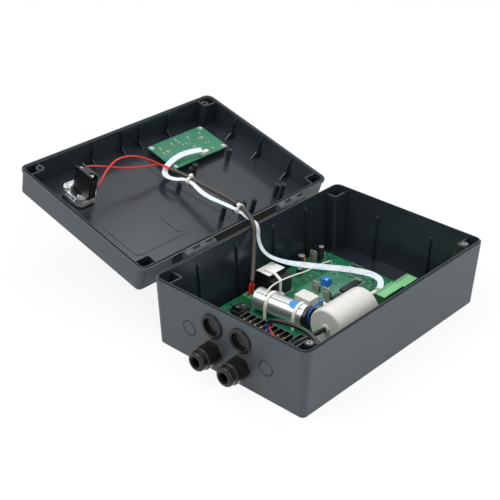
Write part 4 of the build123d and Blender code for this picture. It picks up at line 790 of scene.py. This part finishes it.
class CONTROLBOX_OT_cables(BoxOperator, bpy.types.Operator):
    """Lays the sleeve, the ribbon and every wire along its route"""
    bl_idname = "controlbox.cables"
    bl_label = "Cables"

    def execute(self, context):
        look = scene_look(context)
        # The stop circuit's sleeve has two cores under one soft jacket
        sleeve = finish_of("pvc_sleeve_brown_grey")
        piece = route_curve("stop_sleeve", STOP_CABLE, look.sleeve_diameter / MM / 2, sleeve)
        path, length = centre_line(piece)
        self.cross_hinge(solid_cable(piece), "cable_black", "stop_cable", STOP_CABLE, path, length,
                         look.sleeve_diameter, "medium")
        self.lay_ribbon(look)
        # The two mains leads are short, so they are given no stiffness
        for name, route, radius, body, finish, slot, node, stiffness in (
            ("capacitor_lead", CAPACITOR_CABLE, 2.7, "base", "pvc_jacket_black", "cable_black",
             "capacitor_cable", "stiff"),
            ("aerial_wire", ANTENNA_WIRE, 0.9, "base", "pvc_insulation_white", "wire_white",
             "antenna_wire", "medium"),
            ("link_lead", LINK_WIRE, 1.0, "base", "pvc_insulation_blue", "wire_blue", "link_wire", "stiff"),
            ("stop_wire_long", LONG_WIRE, 1.1, "lid", "pvc_insulation_red", "wire_red",
             "contact_wires", "medium"),
            ("stop_wire_short", SHORT_WIRE, 1.1, "lid", "pvc_insulation_red", "wire_red",
             "contact_wires", "medium"),
            ("blue_core", BLUE_LEAD, 1.0, "base", "pvc_insulation_blue", "wire_blue", "mains_leads", None),
            ("red_core", RED_LEAD, 1.0, "base", "pvc_insulation_red", "wire_red", "mains_leads", None),
        ):
            piece = route_curve(name, route, radius, finish_of(finish))
            length = centre_line(piece)[1]
            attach(piece, body)
            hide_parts(node)
        return {"FINISHED"}

    def cross_hinge(self, solid, slot, node, route, path, length, diameter, stiffness):
        """Hides the cable's CAD node and fixes the solid cable's place into its mesh."""
        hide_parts(node)
        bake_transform(solid)

    def lay_ribbon(self, look):
        """Thin cores side by side, which lie flat along the route and are gathered where a tie holds them."""
        cores = look.ribbon_cores
        pitch = look.ribbon_width / cores
        around = []
        for side in (1, -1):
            for core in range(cores):
                middle = side * (core - (cores - 1) / 2) * pitch
                for turn in map(math.radians, (-62, -22, 22, 62)):
                    around.append((middle + side * math.sin(turn) * pitch / 2,
                                   side * math.cos(turn) * pitch / 2))
        outline = bpy.data.curves.new("ribbon_section", "CURVE")
        outline.dimensions = "2D"
        spline = outline.splines.new("POLY")
        spline.points.add(len(around) - 1)
        for point, (across, height) in zip(spline.points, around):
            point.co = (across, height, 0, 1)
        spline.use_cyclic_u = True
        section = linked("ribbon_section", outline)
        piece = route_curve("ribbon_strip", RIBBON, 0.0, ribbon_jacket(pitch), RIBBON_TILTS, RIBBON_GATHERS)
        path, length = centre_line(piece)
        piece.data.twist_mode = "Z_UP"
        piece.data.bevel_mode = "OBJECT"
        piece.data.bevel_object = section
        solid = solid_cable(piece, path, [across for across, _ in around])
        bpy.data.objects.remove(section)
        self.cross_hinge(solid, "wire_white", "ribbon_cable", RIBBON, path, length, look.ribbon_width, "limp")


class CONTROLBOX_OT_enclosure(BoxOperator, bpy.types.Operator):
    """Finishes the moulded halves, the gasket, the grommets, the glands and the hinge"""
    bl_idname = "controlbox.enclosure"
    bl_label = "Enclosure"

    def execute(self, context):
        look = scene_look(context)
        dress(moulded_abs(look).name, "base_shell", "base_pockets", "board_posts")
        dress(moulded_abs(look, lid=True).name, "lid_shell", "lid_pockets", "lid_posts")
        dress("moulded_epdm_rubber_and_painted_shade", "cable_grommets", "gland_seals")
        dress("foamed_epdm_cord", "lid_gasket")
        dress("zinc_plated_steel", "hinge_pins")
        dress("nickel_plated_brass", "lid_screw_inserts")
        dress("moulded_nylon", "gland_bodies", "gland_locknuts", "left_gland_nut", "right_gland_nut")
        # The fine raised lines on the lid's inner face, where the mould's inserts met, made black as painted
        # shade along them
        bm = bmesh.new()
        for start, end in zip(MOULD_LINES, MOULD_LINES[1:]):
            if start and end:
                add_bar(bm, start, end, 0.7, LID_CEILING - 0.3, LID_CEILING + 0.1, OPEN_LID)
        finish_piece("lid_mould_line_shade", bm, "lid", "moulded_epdm_rubber_and_painted_shade", smooth=0)
        # A glossy black rounded bead in each knockout's groove, its black standing in as painted shade of the
        # groove
        bm = bmesh.new()
        bead = [(8.25, -0.9), (9.45, -0.9), (9.45, -0.35), (9.2, 0.12), (8.85, 0.28), (8.5, 0.12),
                (8.25, -0.35), (8.25, -0.9)]
        face = (RIM - KNOCKOUT_HEIGHT) * BASE_DRAFT - HALF_LENGTH
        for x in (-55.5, 55.5):
            add_turned(bm, aimed(x, face, KNOCKOUT_HEIGHT, (0, -0.9986, -0.0523)), bead, 48)
        finish_piece("knockout_groove_shade", bm, "base", "moulded_epdm_rubber_and_painted_shade")
        # Painted shade: a thin dark sheet on each of the lid's hinge loops where its slot lies in shadow, and
        # a dark strip on the wall behind them
        shade_slots, shade_channel = bmesh.new(), bmesh.new()
        along_hinge = Matrix.Translation(HINGE_POINT) @ Matrix.Rotation(-math.pi / 2, 4, "X")
        for start in (-91.5, -69.5, 69.1, 91.1):
            add_wrap(shade_slots, along_hinge, KNUCKLE_RADIUS, (-130, -62), (start, start + 10.8), 0.12)
        finish_piece("hinge_slot_painted_shade", shade_slots, "lid", "hinge_painted_shade", smooth=0)
        add_block(shade_channel, (-110.3, -113.0, RIM + 1.1), (-109.2, 113.0, RIM + 13.0), 0.0, OPEN_LID)
        finish_piece("hinge_channel_painted_shade", shade_channel, "lid", "hinge_painted_shade", smooth=0)
        return {"FINISHED"}


class CONTROLBOX_OT_fasteners(BoxOperator, bpy.types.Operator):
    """Builds the cross-head screws of both boards, the strip and the contact block"""
    bl_idname = "controlbox.fasteners"
    bl_label = "Fasteners"

    def execute(self, context):
        small, clamp = cross_screw(2.8, 1.9, 1.4, 5.9), cross_screw(2.6, 2.3, 1.2, 0.2)
        large, contact = cross_screw(3.2, 2.3, 1.2, 0.2), cross_screw(2.8, 1.6, 1.2, 0.2)
        for name, screw, body, finish, node, places in (
            ("main_board_screws", small, "base", "zinc_plated_steel", "board_screws",
             [aimed(x, y, BOARD_TOP, spin=0.7 + y) for x, y in BOARD_SCREWS]),
            ("strip_screws", clamp, "base", "turned_brass", "barrier_screws",
             [aimed(x, -84.8, STRIP_FLOOR, spin=pole * 0.9) for pole, x in enumerate(STRIP_POLES)]),
            ("end_block_screw", large, "base", "zinc_plated_steel", "barrier_screws",
             [aimed(34.2, -86.4, STRIP_FLOOR, spin=0.4)]),
            ("lid_board_fixings", small, "lid", "zinc_plated_steel", "lid_board_screws",
             [in_lid(x, y, LID_BOARD_FACE, x) for x, y in LID_BOARD_SCREWS]),
            ("contact_clamp_screws", contact, "lid", "zinc_plated_steel", "contact_screws",
             [in_lid(49.5 + side * 9.0, -109.0, CONTACT_SEAT, side) for side in (-1, 1)]),
        ):
            bm = bmesh.new()
            add_copies(bm, screw, *places)
            finish_piece(name, bm, body, finish, (node,))
        return {"FINISHED"}


class CONTROLBOX_OT_power_parts(BoxOperator, bpy.types.Operator):
    """Finishes the transformer, relay, capacitors and mains switch"""
    bl_idname = "controlbox.power_parts"
    bl_label = "Power parts"

    def execute(self, context):
        dress("moulded_pbt_white", "relay")
        dress("moulded_pbt_black", "transformer")
        dress("natural_nylon", "board_ties", "cable_ties")
        dress("shrunk_pvc_film", "motor_capacitor")
        dress("drawn_aluminium", "can_capacitor")
        dress("pvc_jacket_black", "can_end_cap")
        dress("moulded_polyamide_black", "power_switch_body", "power_switch_rocker")
        self.rocker_marks()
        # The moulded collar where the motor capacitor's lead leaves, and the seam round its end
        bm = bmesh.new()
        place = aimed(49.0, -53.5, 35.9, (0, -1, 0))
        collar = [(2.75, -0.5), (5.2, -0.5), (5.2, 0.5), (4.7, 1.2), (3.6, 1.5), (2.75, 1.5), (2.75, -0.5)]
        add_turned(bm, place, collar, 48)
        add_turned(bm, place, [(20.2, -0.3), (21.2, -0.3), (21.0, 0.25), (20.4, 0.25), (20.2, -0.3)], 96)
        finish_piece("capacitor_lead_collar", bm, "base", "moulded_pbt_white")
        self.can_wraps()
        bm = bmesh.new()
        add_block(bm, (-87.4, -15.8, 39.55), (-67.0, 12.2, 39.75), 0.06)
        finish_piece("transformer_label", bm, "base", "coated_label_paper")
        bm = bmesh.new()
        bmesh.ops.create_uvsphere(bm, u_segments=24, v_segments=16, radius=2.9 * MM,
                                  matrix=at(-56.2, -5.2, 15.4) @ Matrix.Diagonal((1, 1, 0.8, 1)))
        finish_piece("strap_seal", bm, "base", "natural_nylon")
        return {"FINISHED"}

    def rocker_marks(self):
        """The usual line and ring moulded in white on the two ends of the rocker."""
        rest_angle, reach, rise, half = math.radians(-12), 5.2, 1.7, 8.2
        bm = bmesh.new()
        pivot = Matrix.Translation(JOINTS["switch_rock"]["pos_m"]) @ Matrix.Rotation(rest_angle, 4, "X")
        line, ring = (pivot @ at(0, side * reach, 1.5 + rise * reach / half)
                      @ Matrix.Rotation(math.atan2(rise, half) * side, 4, "X") for side in (1, -1))
        add_block(bm, (-0.25, -1.7, -0.05), (0.25, 1.7, 0.06), 0.0, line)
        add_turned(bm, ring, flat_ring(1.0, 1.6, -0.05, 0.06), 32)
        finish_piece("rocker_marks", bm, "switch_rocker", "moulded_pbt_white")

    def can_wraps(self):
        """A dark band of painted reflection along the aluminium can, its blue patch and its pale patch, all
        without print.
        """
        turn = math.radians(5.7)
        along = Vector((math.cos(turn), math.sin(turn), 0))
        foot = Vector((-25.5, -41.0, 26.4)) - along * 34.5
        for name, angles, heights, thickness, rounded, finish, slot in (
            # A painted dark reflection band along the can
            ("can_painted_reflection", (116.0, 123.0), (3.0, 67.5), 0.12, 0.0, "painted_reflection_grey", "aluminium"),
            ("can_blue_patch", (72, 131), (48.0, 62.0), 0.18, 5.0, "lacquer_blue", "blue_plastic"),
            ("can_pale_patch", (76, 116), (62.6, 68.6), 0.18, 0.0, "coated_label_paper", "white_plastic"),
        ):
            bm = bmesh.new()
            add_wrap(bm, aimed(*foot, along), CAN_RADIUS, angles, heights, thickness, rounded)
            finish_piece(name, bm, "base", finish)


class CONTROLBOX_OT_terminals(BoxOperator, bpy.types.Operator):
    """Finishes the screw strip, the end block, the plugs and the stop terminal"""
    bl_idname = "controlbox.terminals"
    bl_label = "Terminals"

    def execute(self, context):
        dress("moulded_polyamide_black", "barrier_strip", "end_terminal")
        dress("moulded_polyamide_green", "accessory_plugs")
        dress("dark_green_polyamide_and_painted_shade", "accessory_headers")
        dress("moulded_polyamide_leaf", "stop_terminal")
        dress("pvc_insulation_red", "wire_ferrules")
        dress("moulded_pbt_white", "ribbon_socket", "lid_ribbon_plug")
        self.strip_details()
        self.plug_details()
        return {"FINISHED"}

    def strip_details(self):
        """The clamp plates that the strip's screws press on the wires, and painted highlights along its
        walls' top edges.
        """
        plates, edges = bmesh.new(), bmesh.new()
        for left, right, near, far in [(x - 3.1, x + 3.1, -88.6, -79.6) for x in STRIP_POLES] + [
                (27.6, 41.0, -90.2, -76.5)]:
            add_block(plates, (left, near, STRIP_FLOOR), (right, far, STRIP_FLOOR + 0.35), 0.1)
        finish_piece("strip_clamp_plates", plates, "base", "zinc_plated_steel")
        # Light grey bars along the walls' top edges: painted highlights
        walls = [(STRIP_MIDDLE + (wall - 4) * STRIP_PITCH, -89.2, -76.2, STRIP_TOP) for wall in range(9)]
        walls += [(x, -89.8, -69.3, STRIP_TOP - 1.0) for x in (26.7, 44.5)]
        bars = [((x, near), (x, far), top) for x, near, far, top in walls]
        bars.append(((STRIP_MIDDLE - 33, -76.0), (STRIP_MIDDLE + 33, -76.0), STRIP_TOP))
        for start, end, top in bars:
            add_bar(edges, start, end, 0.4, top - 0.1, top + 0.08)
        finish_piece("strip_painted_edge_highlights", edges, "base", "polyamide_painted_edge_highlight", smooth=0)

    def plug_details(self):
        """Screws and painted shade in the plugs' wells and wire entries, and painted shade on the plugs' wire
        side and end.
        """
        screws, well_shade, walls = bmesh.new(), bmesh.new(), bmesh.new()
        low = BOARD_TOP + 5.85
        for poles, x, y in ((9, 44.0, 69.0), (7, 46.0, 100.65)):
            half = poles * PLUG_PITCH / 2 + 0.4
            face = x + 7.75
            # Dark green plates on the plugs' wire side and end, between the entries: painted shade
            for bottom, top in ((0.0, 2.0), (5.4, 11.2)):
                add_block(walls, (face - 0.02, y - half, low + bottom), (face + 0.12, y + half, low + top))
            add_block(walls, (x - 7.7, y - half - 0.12, low), (face, y - half + 0.02, low + 11.2))
            for pole in range(poles + 1):
                place = at(face, y + (pole - poles / 2) * PLUG_PITCH, low)
                add_block(walls, (-0.02, -0.55, 2.0), (0.12, 0.55, 5.4), 0.0, place)
            for pole in range(poles):
                middle = y + (pole - (poles - 1) / 2) * PLUG_PITCH
                place = at(face, middle, low)
                # Dark fills near the top of each screw well and in each wire entry: painted shade
                add_block(well_shade, (-14.25, -1.25, 8.0), (-11.55, 1.25, 11.1), 0.0, place)
                add_block(well_shade, (-3.9, -1.3, 2.05), (-0.25, 1.3, 5.35), 0.0, place)
                add_drum(screws, aimed(x - 5.6, middle, low + 11.0), 0.5, 0.3, 0.1, 12)
        finish_piece("plug_screws", screws, "base", "zinc_plated_steel")
        finish_piece("plug_well_painted_shade", well_shade, "base", "shadowed_polyamide", smooth=0)
        finish_piece("plug_side_painted_shade", walls, "base", "dark_green_polyamide_and_painted_shade",
                     smooth=0)


class CONTROLBOX_OT_main_board(BoxOperator, bpy.types.Operator):
    """Finishes the main board and places its small parts"""
    bl_idname = "controlbox.main_board"
    bl_label = "Main board"

    def execute(self, context):
        mask = (*scene_look(context).board_colour, 1.0)
        bare_area = ((-0.0315, 0.050, 0), (0.0205, 0.034, 1), linear("#4b8a70"))
        dress(circuit_board("solder_mask_green", mask, toned(mask, 1.35), 1.9, bare_area).name, "main_board")
        dress("moulded_epoxy", "chips")
        dress("trimmer_blue", "level_trimmer")
        dress("zinc_plated_steel", "crystal")
        self.transistors()
        self.upright_capacitors()
        self.trimmer_screw()
        self.aerial_coil()
        self.small_parts()
        self.print_lines()
        self.pads()
        return {"FINISHED"}

    def transistors(self):
        """Tab-mounted power transistors: drilled steel tab, moulded body and three legs."""
        bodies, legs, tabs, tab, drill = (bmesh.new() for _ in range(5))
        foot = BOARD_TOP + 4.0
        add_block(tab, (-5.0, -0.6, 0.0), (5.0, 0.6, 15.4), 0.15)
        add_drum(drill, aimed(0, 2, 12.2, (0, -1, 0)), 1.8, 4.0, 0.0, 24)
        drilled = cut_mesh(tab, drill)
        for x, y in ((-77, 80), (-28, 25), (-9, 21.5)):
            add_copies(tabs, drilled, at(x, y - 1.6, foot))
            add_block(bodies, (x - 4.95, y - 1.0, foot), (x + 4.95, y + 2.2, foot + 9.0), 0.25)
            for leg in (x - PIN_PITCH, x, x + PIN_PITCH):
                add_block(legs, (leg - 0.45, y - 0.3, BOARD_TOP), (leg + 0.45, y + 0.3, foot + 0.5), 0.08)
        for name, bm, finish, slot in (
            ("transistor_bodies", bodies, "moulded_epoxy", "black_plastic"),
            ("transistor_tabs", tabs, "tin_plated_steel", "steel"),
            ("transistor_legs", legs, "tinned_solder", "steel"),
        ):
            finish_piece(name, bm, "base", finish, ("power_transistors",))

    def upright_capacitors(self):
        """Sleeved electrolytic capacitors with bright, scored tops; one carries an orange stripe."""
        sleeves, tops, stripe = bmesh.new(), bmesh.new(), bmesh.new()
        for x, y, radius, height in ((-76, 92.5, 4.0, 20.0), (-86, 66.5, 5.0, 14.0), (-74, 49, 4.0, 8.0)):
            place = aimed(x, y, BOARD_TOP)
            sleeve = [(0, 0), (radius, 0), (radius, 1.3), (radius - 0.4, 1.8), (radius, 2.3),
                      (radius, height - 0.6), (radius - 0.2, height - 0.1), (radius - 0.7, height),
                      (radius - 0.8, height - 0.3), (0, height - 0.3)]
            add_turned(sleeves, place, sleeve, 48)
            disc, scores = bmesh.new(), bmesh.new()
            add_drum(disc, Matrix.Identity(4), radius - 0.75, 0.3, 0.08, 40)
            for turn in (0.3, 0.3 + math.pi / 2):
                score = Matrix.Rotation(turn, 4, "Z")
                add_block(scores, (-radius, -0.12, 0.15), (radius, 0.12, 1.0), 0.0, score)
            add_copies(tops, cut_mesh(disc, scores), place @ at(0, 0, height - 0.3))
        add_wrap(stripe, at(-86, 66.5, BOARD_TOP), 5.0, (-16, 22), (2.6, 13.2), 0.1)
        for name, bm, finish, slot in (
            ("capacitor_sleeves", sleeves, "moulded_epoxy", "black_plastic"),
            ("capacitor_tops", tops, "drawn_aluminium", "aluminium"),
            ("capacitor_stripe", stripe, "sleeve_stripe_orange", "black_plastic"),
        ):
            finish_piece(name, bm, "base", finish, ("filter_capacitors",))

    def trimmer_screw(self):
        """The pale slotted screw of the blue trimmer."""
        head, slot, bm = bmesh.new(), bmesh.new(), bmesh.new()
        add_drum(head, Matrix.Identity(4), 1.75, 0.7, 0.12, 32)
        add_block(slot, (-3, -0.35, 0.3), (3, 0.35, 2.0))
        add_copies(bm, cut_mesh(head, slot), aimed(-31.5, 48.5, BOARD_TOP + 9.05, spin=0.5))
        finish_piece("trimmer_screw", bm, "base", "moulded_pbt_white")

    def aerial_coil(self):
        """The receiver's small aerial coil, a lacquered wire wound along the board."""
        bm = bmesh.new()
        start, run, turns, steps = Vector((-71.0, 89.0, 14.3)) * MM, Vector((-3.0, 21.0, 0.0)) * MM, 15, 14
        coil_radius, wire_radius = 1.45 * MM, 0.36 * MM
        across = run.cross(Vector((0, 0, 1))).normalized()
        section = aimed(0, 0, 0, run.cross(across))
        section.translation = start + across * coil_radius
        ring = bmesh.ops.create_circle(bm, cap_ends=False, segments=6, radius=wire_radius,
                                       matrix=section)["verts"]
        edges = list({edge for vert in ring for edge in vert.link_edges})
        bmesh.ops.spin(bm, geom=ring + edges, cent=start, axis=run.normalized(), dvec=run / (turns * steps),
                       angle=2 * math.pi * turns, steps=turns * steps, use_duplicate=False)
        bmesh.ops.holes_fill(bm, edges=[edge for edge in bm.edges if edge.is_boundary])
        bmesh.ops.recalc_face_normals(bm, faces=bm.faces[:])
        finish_piece("aerial_coil", bm, "base", "lacquered_wire_green")

    def taken(self, x, y):
        """Whether a larger part already stands on a place of the board."""
        return any(low[0] - 2 < x < high[0] + 2 and low[1] - 2 < y < high[1] + 2 for low, high in self.blocks)

    def small_parts(self):
        """Surface-mounted parts where the photo shows them, a few more at random, and the pin rows."""
        self.blocks = [((-54, 14), (-6, 86))] + [
            [[part / MM for part in corner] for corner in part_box(name)]
            for name in ("barrier_strip", "end_terminal", "power_switch_body", "stop_terminal", "transformer",
                         "board_ties", "relay", "can_capacitor", "can_end_cap", "motor_capacitor",
                         "accessory_headers", "level_trimmer", "crystal", "ribbon_socket")]
        dark, tan, ends = bmesh.new(), bmesh.new(), bmesh.new()
        places = list(SURFACE_PARTS)
        dice = random.Random(5)
        for column in range(20):
            for row in range(25):
                x = -84 + column * 8.8 + dice.uniform(-2.0, 2.0)
                y = -104 + row * 8.8 + dice.uniform(-2.0, 2.0)
                if dice.random() < 0.3 and not self.taken(x, y):
                    places.append((x, y, dice.choice("RRCQ")))
        for index, (x, y, kind) in enumerate(places):
            length, width, height, bare = PART_SIZES[kind]
            place = aimed(x, y, BOARD_TOP, spin=math.pi / 2 * (index % 3 == 1))
            inner = length / 2 - bare
            body = tan if kind == "C" else dark
            add_block(body, (-inner, -width / 2, 0.0), (inner, width / 2, height), 0.0, place)
            if kind == "Q":
                for leg, side in ((-0.95, -1.05), (0.95, -1.05), (0.0, 1.05)):
                    add_block(ends, (leg - 0.25, side - 0.5, 0.0), (leg + 0.25, side + 0.5, 0.35), 0.0, place)
                continue
            for low, high in ((-length / 2, -inner), (inner, length / 2)):
                add_block(ends, (low, -width / 2, 0.0), (high, width / 2, height * 1.04), 0.0, place)
        for pin in range(6):
            x = -39.3 + pin * 2.76
            add_block(dark, (x - 1.25, 107.85, BOARD_TOP), (x + 1.25, 110.35, BOARD_TOP + 1.5))
            add_block(ends, (x - 0.25, 108.85, BOARD_TOP + 1.4), (x + 0.25, 109.35, BOARD_TOP + 4.6))
        for x, y, width, count in ((-8.5, 64.0, 9.0, 11), (-5.0, 35.0, 7.5, 5)):
            for pin in range(count):
                middle = y + (pin - (count - 1) / 2) * PIN_PITCH
                for edge in (x - width / 2, x + width / 2):
                    place = at(edge, middle, BOARD_TOP)
                    add_block(ends, (-0.7, -0.4, 0.0), (0.1, 0.4, 1.7), 0.0, place)
        finish_piece("surface_parts", dark, "base", "moulded_epoxy", smooth=0)
        finish_piece("surface_capacitors", tan, "base", "ceramic_tan", smooth=0)
        finish_piece("surface_part_ends", ends, "base", "tinned_solder", smooth=0)
        bm = bmesh.new()
        add_block(bm, (-5.5, 5.2, BOARD_TOP), (5.5, 10.6, BOARD_TOP + 7.0), 0.3)
        add_block(bm, (-4.4, 10.5, BOARD_TOP), (4.4, 12.0, BOARD_TOP + 5.0), 0.2)
        finish_piece("spare_socket", bm, "base", "moulded_pbt_white")

    def print_lines(self):
        """The white outlines printed round the parts of the board."""
        bm = bmesh.new()
        lines = [((x - 2.4, y - 1.6), (x + 2.4, y - 1.6), 0.25) for x, y, kind in SURFACE_PARTS]
        for low, high in PRINTED_BOXES:
            ring = (low, (high[0], low[1]), high, (low[0], high[1]), low)
            lines += [(start, end, 0.45) for start, end in zip(ring, ring[1:])]
        for start, end, width in lines:
            add_bar(bm, start, end, width, BOARD_TOP - 0.05, BOARD_TOP + 0.04)
        finish_piece("board_print", bm, "base", "silk_screen_ink", smooth=0)

    def pads(self):
        """Round solder joints where the through-hole parts come up, and rings round the screws."""
        bm = bmesh.new()
        for x, y in BOARD_SCREWS:
            add_turned(bm, aimed(x, y, BOARD_TOP), flat_ring(2.85, 4.2, 0.0, 0.06), 32)
        dice = random.Random(9)
        for _ in range(110):
            x, y = dice.uniform(-88, 88), dice.uniform(-110, 110)
            if not self.taken(x, y):
                add_drum(bm, aimed(x, y, BOARD_TOP - 0.05), 0.6, 0.3, 0.1, 10)
        finish_piece("solder_joints", bm, "base", "tinned_solder")


class CONTROLBOX_OT_lid_parts(BoxOperator, bpy.types.Operator):
    """Finishes the lid board with its solder joints, the buttons and the lamps"""
    bl_idname = "controlbox.lid_parts"
    bl_label = "Lid parts"

    def execute(self, context):
        mask = (*scene_look(context).lid_board_colour, 1.0)
        dress(circuit_board("solder_mask_light_green", mask, toned(mask, 1.12), 2.6).name, "lid_board")
        dress("moulded_polyamide_black", "tact_switches")
        dress("button_green", "open_button")
        dress("button_red", "halt_button")
        dress("button_grey", "close_button")
        dress("lamp_lens", "indicator_leds")
        # The joints of the switches, the lamps, the ribbon's socket and a few small parts
        joints = [(x, y + side) for y in (46.0, 76.0, 106.0) for x in (50.75, 63.25) for side in (-2.5, 2.5)]
        joints += [(72 + side * PIN_PITCH / 2, y) for y in (40.0, 61.0, 91.0, 112.0) for side in (-1, 1)]
        joints += [(34.5, 84 + (pin - 2.5) * 2.0) for pin in range(6)]
        dice = random.Random(3)
        for _ in range(9):
            x, y = dice.uniform(36, 76), dice.uniform(32, 118)
            joints += [(x, y), (x + 2.5, y)]
        bead = [(0.0, -0.02), (1.15, -0.02), (1.1, 0.12), (0.6, 0.5), (0.3, 0.9), (0.0, 1.0)]
        for name, finish, places, profile, segments in (
            ("lid_solder_joints", "fluxed_solder", joints, bead, 12),
            ("lid_screw_rings", "tinned_solder", LID_BOARD_SCREWS, flat_ring(2.85, 3.6, 0.0, 0.05), 32),
        ):
            bm = bmesh.new()
            for x, y in places:
                add_turned(bm, in_lid(x, y, LID_BOARD_FACE), profile, segments)
            finish_piece(name, bm, "lid", finish)
        return {"FINISHED"}


class CONTROLBOX_OT_emergency_stop(BoxOperator, bpy.types.Operator):
    """Finishes the emergency stop with its collar and contact block"""
    bl_idname = "controlbox.emergency_stop"
    bl_label = "Emergency stop"

    def execute(self, context):
        dress("moulded_polyamide_black", "operator_body", "contact_block", "stop_stem")
        dress("die_cast_zinc", "operator_collar")
        dress("stop_head_red", "stop_head")
        # Clamp screws and cast bars on the collar's inner face and on its side, and thin dark plates there as
        # painted shade of slots
        screws, bars, shade_slots = bmesh.new(), bmesh.new(), bmesh.new()
        places = ((71.0, -116.5), (43.0, -101.5), (71.0, -101.5))
        screw = cross_screw(2.3, 1.3, 1.0, 0.2)
        add_copies(screws, screw, *[in_lid(x, y, COLLAR_FACE, y) for x, y in places])
        for low, high in (
            ((47.0, -98.0, -0.9), (67.0, -96.2, 0.2)), ((72.6, -112.0, -0.9), (74.2, -104.0, 0.2)),
            ((46.0, -123.8, 3.0), (68.0, -122.8, 4.4)), ((46.0, -123.8, 7.2), (68.0, -122.8, 8.6)),
            ((38.2, -117.0, 4.6), (39.2, -101.0, 6.2)),
        ):
            add_block(bars, low, high, 0.2, OPEN_LID @ at(0, 0, COLLAR_FACE))
        for low, high in [((x, -123.1, 4.6), (x + 3.0, -122.9, 7.0)) for x in (45.0, 52.0, 59.0, 66.0)] + [
                ((38.9, y, 1.0), (39.05, y + 2.2, 4.2)) for y in (-114.0, -108.0, -102.5)]:
            add_block(shade_slots, low, high, 0.0, OPEN_LID @ at(0, 0, COLLAR_FACE))
        finish_piece("collar_screws", screws, "lid", "zinc_plated_steel")
        finish_piece("collar_bars", bars, "lid", "die_cast_zinc")
        finish_piece("collar_slot_shade", shade_slots, "lid", "moulded_epdm_rubber_and_painted_shade", smooth=0)
        return {"FINISHED"}


class CONTROLBOX_PT_panel(bpy.types.Panel):
    """Lists the groups of the control box"""
    bl_idname = "CONTROLBOX_PT_panel"
    bl_label = "Control box"
    bl_space_type = "VIEW_3D"
    bl_region_type = "UI"
    bl_category = "Control box"

    def draw(self, context):
        for name in ControlBoxLook.__annotations__:
            self.layout.prop(scene_look(context), name)
        for operator in OPERATORS:
            self.layout.operator(operator.bl_idname)


OPERATORS = (
    CONTROLBOX_OT_stage, CONTROLBOX_OT_cables, CONTROLBOX_OT_enclosure, CONTROLBOX_OT_fasteners,
    CONTROLBOX_OT_power_parts, CONTROLBOX_OT_terminals, CONTROLBOX_OT_main_board, CONTROLBOX_OT_lid_parts,
    CONTROLBOX_OT_emergency_stop,
)


def register():
    for item in (ControlBoxLook, *OPERATORS, CONTROLBOX_PT_panel):
        bpy.utils.register_class(item)
    bpy.types.Scene.control_box_look = PointerProperty(type=ControlBoxLook)


def unregister():
    del bpy.types.Scene.control_box_look
    for item in reversed((ControlBoxLook, *OPERATORS, CONTROLBOX_PT_panel)):
        bpy.utils.unregister_class(item)


def main():
    register()
    for operator in OPERATORS:
        group, name = operator.bl_idname.split(".")
        getattr(getattr(bpy.ops, group), name)()


if __name__ == "__main__":
    main()
